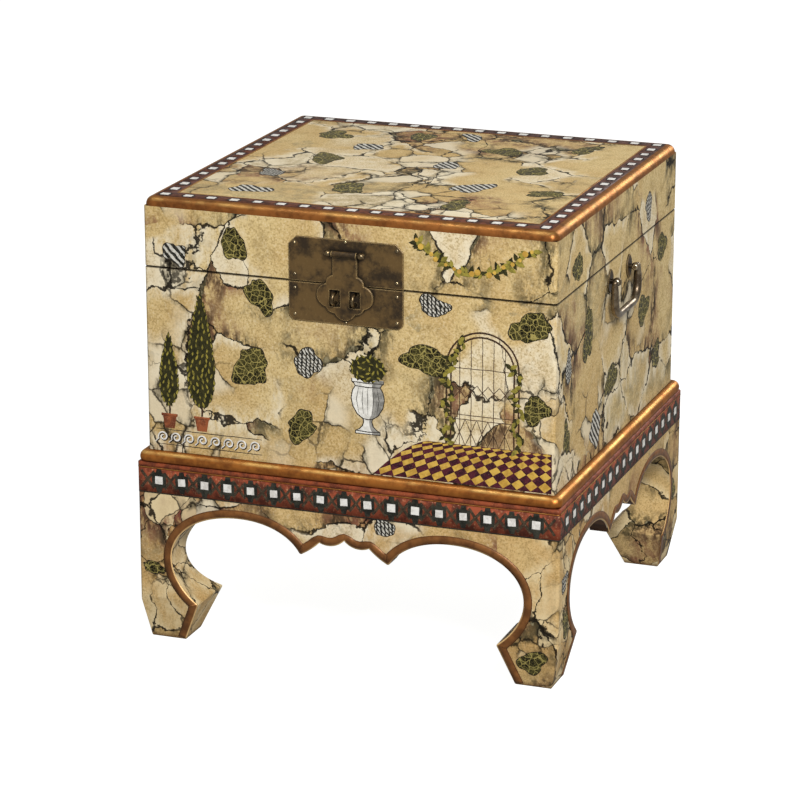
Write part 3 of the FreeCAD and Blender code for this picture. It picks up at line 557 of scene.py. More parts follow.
@dataclass(frozen=True)
class CopperLine(Finish):
    """The copper edge line, gilded along the arris with a painted highlight there, by the piece's own measure
    across.
    """

    copper: Colour = tint(126, 82, 44)
    umber: Colour = tint(94, 59, 32)
    gold: Colour = tint(236, 196, 134)
    border: Colour = tint(60, 36, 24)
    sheen: Colour = tint(252, 236, 212)

    def make(self) -> bpy.types.Material:
        """Builds the line with its rubbed, gilded arris and painted highlight, and its dark inner edge."""
        graph = ShaderGraph(self.name)
        place = graph.place()
        across = graph.add("ShaderNodeAttribute", {}, attribute_name="across").outputs["Fac"]
        rub = graph.noise(place, 14.0, 3.0, 0.6)
        fine = graph.noise(place, 240.0, 3.0, 0.6)
        cloud = graph.noise(place, 70.0, 5.0, 0.65)
        colour = graph.blend(graph.fade(cloud, 0.36, 0.66), self.copper, self.umber)
        colour = graph.blend(graph.fade(across, 0.86, 0.98, 0.0, 0.65), colour, self.border)
        # Gilding and painted highlight along the arris, broken up by the rub noise.
        arris = graph.times(graph.fade(across, 0.05, 0.2, 1.0, 0.0), graph.fade(rub, 0.42, 0.60, 0.0, 0.9))
        colour = graph.blend(arris, colour, self.gold)
        return graph.close({
            "Base Color": colour,
            "Metallic": 0.2,
            "Roughness": graph.fade(fine, 0.3, 0.7, 0.32, 0.46),
            "Normal": graph.bump(fine, 0.12, 0.0003),
            "Specular IOR Level": 0.2,
            "Specular Tint": self.sheen,
        })


@dataclass(frozen=True)
class BrushedPaint(Finish):
    """A film of paint with a second tone brushed in and the ground rubbed through."""

    base: Colour = tint(120, 50, 35)
    second: Colour = tint(84, 34, 26)
    rubbed: Colour = tint(186, 150, 104)
    strokes_per_m: float = 90.0
    wear: float = 0.2

    def make(self) -> bpy.types.Material:
        """Builds the brushed film."""
        graph = ShaderGraph(self.name)
        place = graph.place()
        cloud = graph.noise(place, self.strokes_per_m, 4.0, 0.65)
        fine = graph.noise(place, self.strokes_per_m * 7.0, 3.0, 0.6)
        colour = graph.blend(graph.fade(cloud, 0.40, 0.62), self.base, self.second)
        colour = graph.blend(graph.fade(fine, 0.56, 0.74, 0.0, self.wear), colour, self.rubbed)
        return graph.close({
            "Base Color": colour,
            "Roughness": graph.fade(cloud, 0.3, 0.7, 0.38, 0.54),
            "Normal": graph.bump(fine, 0.15, 0.0003),
            "Specular IOR Level": 0.12,
        })


@dataclass(frozen=True)
class AgedMetal(Finish):
    """Cast or rolled metal with patina, lighter along its edges by wear and a painted highlight, darker in
    its creases by grime and painted shade.
    """

    # Bright metal for the specks, and for the edges as wear and painted highlight.
    bright: Colour = tint(196, 166, 112)
    dull: Colour = tint(104, 80, 44)
    dirt: Colour = tint(48, 35, 17)
    specks: float = 0.1
    shine: float = 0.4
    smooth: float = 0.4
    clouds_per_m: float = 34.0
    # Colour of grime and painted shade in the creases.
    grime: Colour = tint(22, 16, 10)

    def make(self) -> bpy.types.Material:
        """Builds the patina, the edges with wear and painted highlight, and the creases with grime and
        painted shade.
        """
        graph = ShaderGraph(self.name)
        place = graph.place()
        patina = graph.noise(place, self.clouds_per_m, 5.0, 0.65)
        fine = graph.noise(place, self.clouds_per_m * 9.0, 3.0, 0.6)
        # Ambient occlusion, for grime and painted shade in creases and beside the hasp.
        crease = graph.creases(0.008)
        colour = graph.blend(graph.fade(patina, 0.39, 0.61), self.dull, self.dirt)
        colour = graph.blend(graph.fade(fine, 0.54, 0.76, 0.0, self.specks), colour, self.bright)
        # Edges lightened: partly rubbed wear, partly a painted highlight along the outlines.
        colour = graph.blend(graph.edges(0.002), colour, self.bright)
        # Grime and painted shade: creases are darkened.
        colour = graph.blend(graph.times(crease, 0.85), colour, self.grime)
        return graph.close({
            "Base Color": colour,
            "Metallic": self.shine,
            "Roughness": graph.fade(patina, 0.3, 0.7, self.smooth, self.smooth + 0.18),
            "Normal": graph.bump(fine, 0.1, 0.0003),
        })


class Paints(Enum):
    """Every finish on the chest."""

    CASE = CrackledPlaster("crackled_case", shell=(0.2308, 0.2228, 0.4988), seam=0.4235)
    APRON = CrackledPlaster("crackled_apron", shell=(0.2403, 0.2323, 0.6), ground=tint(200, 170, 116),
                            warm=tint(186, 150, 96))
    LEG = CrackledPlaster("crackled_leg", ground=tint(200, 170, 116), warm=tint(186, 150, 96),
                          pale=tint(214, 194, 152), stones_per_m=17.0, pebbles_per_m=34.0, glazed=True)
    WOOD = StainedWood("stained_boards")
    TRIM = CopperTrim("copper_trim", gilt=0.6)
    NOSING = CopperTrim("copper_nosing", tint(162, 100, 48), tint(120, 71, 34), gilt=0.34)
    LINE = CopperLine("copper_edge_line")
    BRICK = BrushedPaint("brick_band", tint(142, 70, 46), tint(84, 42, 30), tint(190, 146, 108), 62.0, 0.6)
    DEEP_RED = BrushedPaint("dark_red_rule", tint(132, 66, 40), tint(92, 46, 30), tint(180, 116, 80),
                            80.0, 0.4)
    BLOCK = BrushedPaint("dark_blocks", tint(30, 30, 26), tint(52, 52, 44), tint(112, 104, 84), 130.0, 0.4)
    CHALK = BrushedPaint("chalk_squares", tint(222, 219, 212), tint(196, 192, 184), tint(120, 116, 108),
                         160.0, 0.3)
    BORDER = BrushedPaint("maroon_border", tint(96, 58, 44), tint(62, 40, 33), tint(136, 98, 74), 90.0, 0.4)
    DARK_BLOCK = BrushedPaint("border_blocks", tint(40, 28, 26), tint(30, 24, 24), tint(84, 60, 50),
                              120.0, 0.3)
    STRUT = BrushedPaint("band_struts", tint(70, 58, 44), tint(46, 38, 30), tint(160, 132, 104), 150.0, 0.5)
    NET = NettedScrap("netted_scrap")
    WEAVE = WovenScrap("woven_scrap")
    STRIPE = WovenScrap("striped_scrap", stripes=True)
    OCHRE = BrushedPaint("ochre_tiles", tint(200, 164, 76), tint(172, 134, 58), tint(108, 76, 44), 110.0, 0.4)
    MAROON = BrushedPaint("maroon_tiles", tint(78, 32, 42), tint(48, 22, 30), tint(150, 108, 98), 140.0, 0.45)
    PINE = BrushedPaint("dark_leaves", tint(54, 51, 27), tint(36, 35, 19), tint(112, 104, 54), 150.0, 0.4)
    LIME = BrushedPaint("light_leaves", tint(142, 130, 56), tint(104, 96, 42), tint(190, 172, 88), 180.0, 0.4)
    CLAY = BrushedPaint("clay_pots", tint(146, 82, 50), tint(104, 56, 36), tint(190, 140, 100), 110.0, 0.4)
    LATH = BrushedPaint("trellis_laths", tint(70, 50, 36), tint(46, 34, 26), tint(128, 98, 70), 150.0, 0.35)
    STONE = BrushedPaint("urn_stone", tint(224, 221, 212), tint(196, 193, 184), tint(128, 126, 120),
                         120.0, 0.35)
    STONE_SHADE = BrushedPaint("urn_shade", tint(150, 147, 140), tint(112, 110, 104), tint(196, 192, 184),
                               120.0, 0.3)
    OUTLINE = BrushedPaint("ink_lines", tint(48, 42, 36), tint(32, 28, 24), tint(110, 98, 80), 150.0, 0.3)
    BRONZE = AgedMetal("patinated_bronze")
    BRASS = AgedMetal("rubbed_brass", tint(232, 216, 178), tint(166, 146, 108), tint(92, 76, 54),
                      0.35, 0.95, 0.2, 60.0)
    HANDLE = AgedMetal("handle_brass", tint(222, 208, 180), tint(146, 130, 106), tint(92, 78, 62),
                       0.35, 0.9, 0.2, 60.0)
    STEEL = AgedMetal("dulled_steel", tint(170, 166, 158), tint(110, 106, 98), tint(66, 60, 52),
                      0.35, 0.9, 0.32, 70.0)


def dress(nodes: Iterable[str], paint: Paints) -> None:
    """Gives nodes of the frame their finish.

    Args:
        nodes: The nodes' names.
        paint: The finish.
    """
    for name in nodes:
        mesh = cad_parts[name].data
        if not mesh.materials:
            mesh.materials.append(None)
        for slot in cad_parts[name].material_slots:
            slot.material = paint.value.material()
        log.info("dressed %s in %s", name, paint.value.name)


def settle(piece: bpy.types.Object, body: Body, slot: Slot) -> None:
    """Puts a finished piece on its body and reports it."""
    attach(piece, body.value)
    log.info("built %s: %d faces on %s", piece.name, len(piece.data.polygons), body.value)


def closed_outwards(mesh: bpy.types.Mesh) -> None:
    """Merges doubles in a mesh and turns its faces outwards."""
    work = bmesh.new()
    work.from_mesh(mesh)
    bmesh.ops.remove_doubles(work, verts=work.verts, dist=WELD)
    bmesh.ops.recalc_face_normals(work, faces=work.faces)
    work.to_mesh(mesh)
    work.free()


def new_piece(name: str, mesh: bpy.types.Mesh) -> bpy.types.Object:
    """Links a mesh to the scene as an object at the origin."""
    piece = bpy.data.objects.new(name, mesh)
    bpy.context.scene.collection.objects.link(piece)
    return piece


def slab(name: str, plates: Sequence[Plate]) -> bpy.types.Mesh:
    """A thin closed plate for each outline.

    Args:
        name: The mesh's name.
        plates: The outlines on the surface that carries them, and how far they stand proud, in metres.

    Returns:
        The mesh, whose plates are sunk by a third of their lift.
    """
    work = bmesh.new()
    for outline, lift in plates:
        low = [work.verts.new(point - lift / 3.0) for point in outline]
        high = [work.verts.new(point + lift) for point in outline]
        work.faces.new(high)
        work.faces.new(list(reversed(low)))
        for k in range(len(outline)):
            after = (k + 1) % len(outline)
            work.faces.new([low[k], low[after], high[after], high[k]])
    mesh = bpy.data.meshes.new(name)
    work.to_mesh(mesh)
    work.free()
    closed_outwards(mesh)
    return mesh


def film(name: str, plates: Sequence[Plate], paint: Paints, body: Body) -> None:
    """Makes plates of paint, as one piece on a body."""
    mesh = slab(name, plates)
    mesh.materials.append(paint.value.material())
    settle(new_piece(name, mesh), body, Slot.PAINT)


class GeometryTree:
    """A geometry node tree with named inputs, which is run once on a carrier mesh."""

    def __init__(self, name: str) -> None:
        """Starts a tree with one geometry in and one out."""
        self.tree = bpy.data.node_groups.new(name, "GeometryNodeTree")
        self.entry = self.tree.nodes.new("NodeGroupInput")
        self.identifiers: dict[str, str] = {}
        self.tree.interface.new_socket("Geometry", in_out="OUTPUT", socket_type="NodeSocketGeometry")
        self.carrier = self.input("Geometry", "Geometry")
        self.paint = self.input("Paint", "Material")

    def input(self, name: str, kind: str) -> bpy.types.NodeSocket:
        """Adds a named input of that kind and returns its socket in the tree."""
        item = self.tree.interface.new_socket(name, in_out="INPUT", socket_type="NodeSocket" + kind)
        self.identifiers[name] = item.identifier
        return next(s for s in self.entry.outputs if s.identifier == item.identifier)

    def add(self, kind: str, inputs: dict[int | str, object], **settings: object) -> bpy.types.Node:
        """Adds a node.

        Args:
            kind: The node's type.
            inputs: What goes into its sockets, by name or place.
            **settings: The node's own options.

        Returns:
            The node.
        """
        node = self.tree.nodes.new(kind)
        for key, option in settings.items():
            setattr(node, key, option)
        for key, value in inputs.items():
            if isinstance(value, bpy.types.NodeSocket):
                self.tree.links.new(value, node.inputs[key])
            else:
                node.inputs[key].default_value = value
        return node

    def math(self, operation: str, a: object, b: object = 0.0) -> bpy.types.NodeSocket:
        """One step of arithmetic."""
        return self.add("ShaderNodeMath", {0: a, 1: b}, operation=operation).outputs[0]

    def attribute(self, name: str) -> bpy.types.NodeSocket:
        """A number that the carrier's points hold under that name."""
        return self.add("GeometryNodeInputNamedAttribute", {"Name": name}, data_type="FLOAT").outputs[0]

    def close(self, geometry: bpy.types.NodeSocket) -> "GeometryTree":
        """Ends the tree with real geometry in the paint that was named."""
        real = self.add("GeometryNodeRealizeInstances", {"Geometry": geometry})
        painted = self.add("GeometryNodeSetMaterial", {"Geometry": real.outputs[0], "Material": self.paint})
        exit_node = self.tree.nodes.new("NodeGroupOutput")
        self.tree.links.new(painted.outputs[0], exit_node.inputs[0])
        return self

    def run(self, name: str, carrier: bpy.types.Mesh, paint: Paints, **sizes: object) -> bpy.types.Object:
        """Runs the tree and keeps the result as a plain mesh.

        Args:
            name: The piece's name.
            carrier: The mesh that goes in.
            paint: The finish.
            **sizes: The other inputs, by name.

        Returns:
            The piece, at the origin.
        """
        holder = new_piece(name + "_carrier", carrier)
        modifier = holder.modifiers.new("tree", "NODES")
        modifier.node_group = self.tree
        modifier[self.identifiers["Paint"]] = paint.value.material()
        for key, value in sizes.items():
            modifier[self.identifiers[key]] = value
        graph = bpy.context.evaluated_depsgraph_get()
        mesh = bpy.data.meshes.new_from_object(holder.evaluated_get(graph), preserve_all_data_layers=True,
                                               depsgraph=graph)
        mesh.name = name
        holder.modifiers.remove(modifier)
        bpy.data.objects.remove(holder)
        closed_outwards(mesh)
        return new_piece(name, mesh)


class Spots(Enum):
    """Where a growth tree sets its units."""

    POINTS = "on_points"
    FACES = "over_faces"
    LINES = "along_lines"


def growth_tree(spots: Spots) -> GeometryTree:
    """A tree that sets a unit on each spot, turned and sized by the carrier, with a little tilt.

    Args:
        spots: Where the units go.

    Returns:
        The tree, with inputs Unit, Apart, Tilt, Spread and Seed.
    """
    tree = GeometryTree("set_units_" + spots.value)
    unit, apart = tree.input("Unit", "Object"), tree.input("Apart", "Float")
    tilt, spread = tree.input("Tilt", "Float"), tree.input("Spread", "Float")
    seed = tree.input("Seed", "Int")
    if spots is Spots.FACES:
        points = tree.add("GeometryNodeDistributePointsOnFaces", {"Mesh": tree.carrier, "Distance Min": apart,
                                                                  "Density Max": 1e6, "Seed": seed},
                          distribute_method="POISSON").outputs["Points"]
    elif spots is Spots.LINES:
        path = tree.add("GeometryNodeMeshToCurve", {"Mesh": tree.carrier}).outputs[0]
        points = tree.add("GeometryNodeCurveToPoints", {"Curve": path, "Length": apart},
                          mode="LENGTH").outputs["Points"]
    else:
        points = tree.add("GeometryNodeMeshToPoints", {"Mesh": tree.carrier}).outputs[0]
    shape = tree.add("GeometryNodeObjectInfo", {"Object": unit}).outputs["Geometry"]
    lean = tree.add("FunctionNodeRandomValue", {2: tree.math("MULTIPLY", tilt, -1.0), 3: tilt, "Seed": seed})
    grow = tree.add("FunctionNodeRandomValue", {2: tree.math("SUBTRACT", 1.0, spread),
                                                3: tree.math("ADD", 1.0, spread),
                                                "Seed": tree.math("ADD", seed, 1.0)})
    euler = tree.add("ShaderNodeCombineXYZ", {"Y": lean.outputs[1], "Z": tree.attribute("turn")}).outputs[0]
    turned = tree.add("FunctionNodeEulerToRotation", {0: euler}).outputs[0]
    size = tree.math("MULTIPLY", grow.outputs[1], tree.attribute("grow"))
    placed = tree.add("GeometryNodeInstanceOnPoints", {"Points": points, "Instance": shape,
                                                       "Rotation": turned, "Scale": size})
    return tree.close(placed.outputs[0])


def grow_units(name: str, spots: Spots, carrier: bpy.types.Mesh, unit: bpy.types.Mesh, paint: Paints,
               body: Body, apart: float = 0.0, tilt: float = 0.0, spread: float = 0.0,
               seed: int = 1) -> None:
    """Sets a unit on every spot of a carrier, as one piece on a body.

    Args:
        name: The piece's name.
        spots: Where the units go.
        carrier: The mesh that holds the spots.
        unit: The unit's mesh.
        paint: The finish.
        body: The body that carries the piece.
        apart: How far apart the units stand, m.
        tilt: How far they lean at most, in radians.
        spread: How far their sizes stray from 1.
        seed: The fixed seed.
    """
    holder = new_piece(name + "_unit", unit)
    piece = growth_tree(spots).run(name, carrier, paint, Unit=holder, Apart=apart, Tilt=tilt, Spread=spread,
                                   Seed=seed)
    bpy.data.objects.remove(holder)
    settle(piece, body, Slot.PAINT)


def stroke_tree() -> GeometryTree:
    """A tree that runs a brush along lines and presses the strokes flat on a face.

    Returns:
        The tree, with inputs Width, Flat, Facing, which is a vector, and Reach.
    """
    tree = GeometryTree("run_brush_along_lines")
    width, flat = tree.input("Width", "Float"), tree.input("Flat", "Float")
    facing, reach = tree.input("Facing", "Vector"), tree.input("Reach", "Float")
    path = tree.add("GeometryNodeMeshToCurve", {"Mesh": tree.carrier}).outputs[0]
    brush = tree.add("GeometryNodeCurvePrimitiveCircle", {"Resolution": 8,
                                                          "Radius": tree.math("MULTIPLY", width, 0.5)})
    swept = tree.add("GeometryNodeCurveToMesh", {"Curve": path, "Profile Curve": brush.outputs[0],
                                                 "Scale": tree.attribute("swell"), "Fill Caps": True})
    place = tree.add("GeometryNodeInputPosition", {}).outputs[0]
    away = tree.add("ShaderNodeVectorMath", {0: place, 1: facing}, operation="DOT_PRODUCT").outputs["Value"]
    press = tree.math("MULTIPLY", tree.math("SUBTRACT", away, reach), tree.math("SUBTRACT", flat, 1.0))
    shift = tree.add("ShaderNodeVectorMath", {0: facing, "Scale": press}, operation="SCALE").outputs[0]
    pressed = tree.add("GeometryNodeSetPosition", {"Geometry": swept.outputs[0], "Offset": shift}).outputs[0]
    return tree.close(pressed)


def terrace_tree() -> GeometryTree:
    """A tree that lays tiles, which are set out on a unit square, on a floor seen in depth.

    Returns:
        The tree, with inputs Unit, Left, Right, Slant, Base and Rise.
    """
    tree = GeometryTree("lay_tiles_in_depth")
    unit = tree.input("Unit", "Object")
    left, right, slant, base, rise = (tree.input(key, "Float")
                                      for key in ("Left", "Right", "Slant", "Base", "Rise"))
    points = tree.add("GeometryNodeMeshToPoints", {"Mesh": tree.carrier}).outputs[0]
    shape = tree.add("GeometryNodeObjectInfo", {"Object": unit}).outputs["Geometry"]
    placed = tree.add("GeometryNodeInstanceOnPoints", {"Points": points, "Instance": shape}).outputs[0]
    real = tree.add("GeometryNodeRealizeInstances", {"Geometry": placed}).outputs[0]
    across, out, back = tree.add("ShaderNodeSeparateXYZ",
                                 {0: tree.add("GeometryNodeInputPosition", {}).outputs[0]}).outputs
    span = tree.math("SUBTRACT", tree.math("SUBTRACT", right, left), tree.math("MULTIPLY", slant, back))
    along = tree.math("SUBTRACT", right, tree.math("MULTIPLY", span, tree.math("SUBTRACT", 1.0, across)))
    near = tree.math("POWER", tree.math("SUBTRACT", 1.0, back), 1.5)
    up = tree.math("ADD", base, tree.math("MULTIPLY", rise, tree.math("SUBTRACT", 1.0, near)))
    spot = tree.add("ShaderNodeCombineXYZ", {"X": along, "Y": out, "Z": up}).outputs[0]
    return tree.close(tree.add("GeometryNodeSetPosition", {"Geometry": real, "Position": spot}).outputs[0])


def ring_tree() -> GeometryTree:
    """A tree that runs a flat strip round a rectangle.

    Returns:
        The tree, with inputs Width, Depth, Corner, Across, Tall and Level.
    """
    tree = GeometryTree("run_strip_round_rectangle")
    sizes = {name: tree.input(name, "Float")
             for name in ("Width", "Depth", "Corner", "Across", "Tall", "Level")}
    path = tree.add("GeometryNodeCurvePrimitiveQuadrilateral", {"Width": sizes["Width"],
                                                                "Height": sizes["Depth"]})
    eased = tree.add("GeometryNodeFilletCurve", {"Curve": path.outputs[0], "Radius": sizes["Corner"],
                                                 "Count": 5}, mode="POLY")
    strip = tree.add("GeometryNodeCurvePrimitiveQuadrilateral", {"Width": sizes["Across"],
                                                                 "Height": sizes["Tall"]})
    swept = tree.add("GeometryNodeCurveToMesh", {"Curve": eased.outputs[0],
                                                 "Profile Curve": strip.outputs[0]})
    level = tree.add("ShaderNodeCombineXYZ", {"Z": sizes["Level"]}).outputs[0]
    raised = tree.add("GeometryNodeSetPosition", {"Geometry": swept.outputs[0], "Offset": level})
    return tree.close(raised.outputs[0])


def edge_strip_tree() -> GeometryTree:
    """A tree that widens a line by its points' inset and lifts the strip off the surface.

    Returns:
        The tree, with the input Lift, which is a vector.
    """
    tree = GeometryTree("widen_line_to_strip")
    lift = tree.input("Lift", "Vector")
    inset = tree.add("GeometryNodeInputNamedAttribute", {"Name": "inset"},
                     data_type="FLOAT_VECTOR").outputs[0]
    wide = tree.add("GeometryNodeExtrudeMesh", {"Mesh": tree.carrier, "Offset": inset}, mode="EDGES")
    marked = tree.add("GeometryNodeStoreNamedAttribute", {"Geometry": wide.outputs["Mesh"], "Name": "across",
                                                          "Value": wide.outputs["Top"]},
                      data_type="FLOAT", domain="POINT").outputs[0]
    sunk = tree.add("ShaderNodeVectorMath", {0: lift, 1: (-0.4, -0.4, -0.4)}, operation="MULTIPLY").outputs[0]
    base = tree.add("GeometryNodeSetPosition", {"Geometry": marked, "Offset": sunk}).outputs[0]
    rise = tree.add("ShaderNodeVectorMath", {0: lift, 1: (1.4, 1.4, 1.4)}, operation="MULTIPLY").outputs[0]
    front = tree.add("GeometryNodeExtrudeMesh", {"Mesh": base, "Offset": rise, "Individual": False},
                     mode="FACES")
    back = tree.add("GeometryNodeFlipFaces", {"Mesh": base}).outputs[0]
    both = tree.add("GeometryNodeJoinGeometry", {})
    tree.tree.links.new(front.outputs["Mesh"], both.inputs[0])
    tree.tree.links.new(back, both.inputs[0])
    whole = tree.add("GeometryNodeMergeByDistance", {"Geometry": both.outputs[0],
                                                     "Distance": WELD}).outputs[0]
    return tree.close(whole)


def held(mesh: bpy.types.Mesh, **numbers: float | Sequence[float]) -> bpy.types.Mesh:
    """Gives a mesh's points numbers to hold, one for all or one for each, and returns the mesh."""
    count = len(mesh.vertices)
    for key, value in numbers.items():
        values = list(value) if isinstance(value, (list, tuple)) else [value] * count
        mesh.attributes.new(key, "FLOAT", "POINT").data.foreach_set("value", values)
    return mesh


def points_mesh(points: Sequence[Vector], turns: float | Sequence[float] = 0.0) -> bpy.types.Mesh:
    """A mesh of loose points that hold a turn about the upright axis and a size of 1."""
    mesh = bpy.data.meshes.new("points")
    mesh.from_pydata([tuple(p) for p in points], [], [])
    return held(mesh, turn=turns, grow=1.0)


def lines_mesh(lines: Sequence[Sequence[Vector]], taper: float = 0.0) -> bpy.types.Mesh:
    """A mesh of open lines for a brush.

    Args:
        lines: The lines' points, in metres.
        taper: How much thinner the brush is at a line's ends, from 0 to 1.

    Returns:
        The mesh, whose points hold the brush's swell, a turn of 0 and a size of 1.
    """
    points, edges, swells = [], [], []
    for line in lines:
        first = len(points)
        points += [tuple(point) for point in line]
        edges += [(first + k, first + k + 1) for k in range(len(line) - 1)]
        swells += [1.0 - taper * abs(2.0 * k / (len(line) - 1) - 1.0) ** 2 for k in range(len(line))]
    mesh = bpy.data.meshes.new("lines")
    mesh.from_pydata(points, edges, [])
    return held(mesh, swell=swells, turn=0.0, grow=1.0)


def unit_plate(outline: Sequence[Flat], lift: float, upright: bool = True) -> bpy.types.Mesh:
    """A thin plate for repeating.

    Args:
        outline: Its outline, mm.
        lift: How far it stands proud, mm.
        upright: Whether it stands on the front; else it lies on the top.

    Returns:
        Its mesh, about the origin.
    """
    if upright:
        points, rise = [Vector((u, 0.0, v)) * MM for u, v in outline], Vector((0.0, -lift * MM, 0.0))
    else:
        points, rise = [Vector((u, v, 0.0)) * MM for u, v in outline], Vector((0.0, 0.0, lift * MM))
    return slab("unit", [(points, rise)])


def ragged_outline(size: float, stretch: float, seed: int) -> list[Flat]:
    """A ragged blob about the origin.

    Args:
        size: Its radius.
        stretch: How much longer it is than round.
        seed: The fixed seed of its shape.

    Returns:
        Its outline.
    """
    dice = random.Random(seed)
    waves = [(dice.uniform(0.3, 1.0) * depth, k, dice.uniform(0.0, math.tau))
             for k, depth in ((2, 0.18), (3, 0.18), (4, 0.12), (7, 0.07), (11, 0.04))]
    turn = dice.uniform(0.0, math.tau)
    outline, count = [], 44
    for k in range(count):
        angle = math.tau * k / count
        radius = size * (1.0 + sum(depth * math.sin(n * angle + start) for depth, n, start in waves))
        a, b = radius * math.cos(angle) * stretch, radius * math.sin(angle) / stretch
        outline.append((a * math.cos(turn) - b * math.sin(turn), a * math.sin(turn) + b * math.cos(turn)))
    return outline


def bezier(a: Flat, b: Flat, c: Flat, d: Flat, steps: int) -> list[Flat]:
    """Points along a curve with two inner poles, without its first point."""
    points = []
    for k in range(1, steps + 1):
        t = k / steps
        shares = ((1 - t) ** 3, 3 * t * (1 - t) ** 2, 3 * t * t * (1 - t), t ** 3)
        points.append(tuple(sum(w * p[i] for w, p in zip(shares, (a, b, c, d))) for i in (0, 1)))
    return points


def three_point_arc(a: Flat, b: Flat, c: Flat, steps: int) -> list[Flat]:
    """Points along the circle through three points, from the first to the last, without the first."""
    ax, ay, bx, by, cx, cy = *a, *b, *c
    d = 2 * (ax * (by - cy) + bx * (cy - ay) + cx * (ay - by))
    aa, bb, cc = ax ** 2 + ay ** 2, bx ** 2 + by ** 2, cx ** 2 + cy ** 2
    ux = (aa * (by - cy) + bb * (cy - ay) + cc * (ay - by)) / d
    uy = (aa * (cx - bx) + bb * (ax - cx) + cc * (bx - ax)) / d
    radius = math.hypot(ax - ux, ay - uy)
    start, middle, end = (math.atan2(y - uy, x - ux) for x, y in (a, b, c))
    turn = (end - start) % math.tau
    if (middle - start) % math.tau > turn:
        turn -= math.tau
    angles = [start + turn * k / steps for k in range(1, steps + 1)]
    return [(ux + radius * math.cos(angle), uy + radius * math.sin(angle)) for angle in angles]


def eased_corner(line: Sequence[Flat], corner: Flat, radius: float) -> list[Flat]:
    """A line with one of its corners rounded.

    Args:
        line: The line's points.
        corner: The point that is its corner.
        radius: The round's radius.

    Returns:
        The new line.
    """
    at = min(range(len(line)), key=lambda k: math.dist(line[k], corner))
    (ax, ay), (bx, by), (cx, cy) = line[at - 1], line[at], line[at + 1]
    turn = abs(math.remainder(math.atan2(cy - by, cx - bx) - math.atan2(by - ay, bx - ax), math.tau))
    reach = radius * math.tan(turn / 2)

    def short_of(x: float, y: float, share: float) -> Flat:
        """The point that share of the reach from the corner towards a neighbour."""
        step = reach * share / math.dist((x, y), (bx, by))
        return bx + (x - bx) * step, by + (y - by) * step

    before, after = short_of(ax, ay, 1.0), short_of(cx, cy, 1.0)
    arc = bezier(before, short_of(ax, ay, 0.45), short_of(cx, cy, 0.45), after, 6)
    return ([p for p in line[:at] if math.dist(p, (bx, by)) > reach] + [before] + arc
            + [p for p in line[at + 1:] if math.dist(p, (bx, by)) > reach])


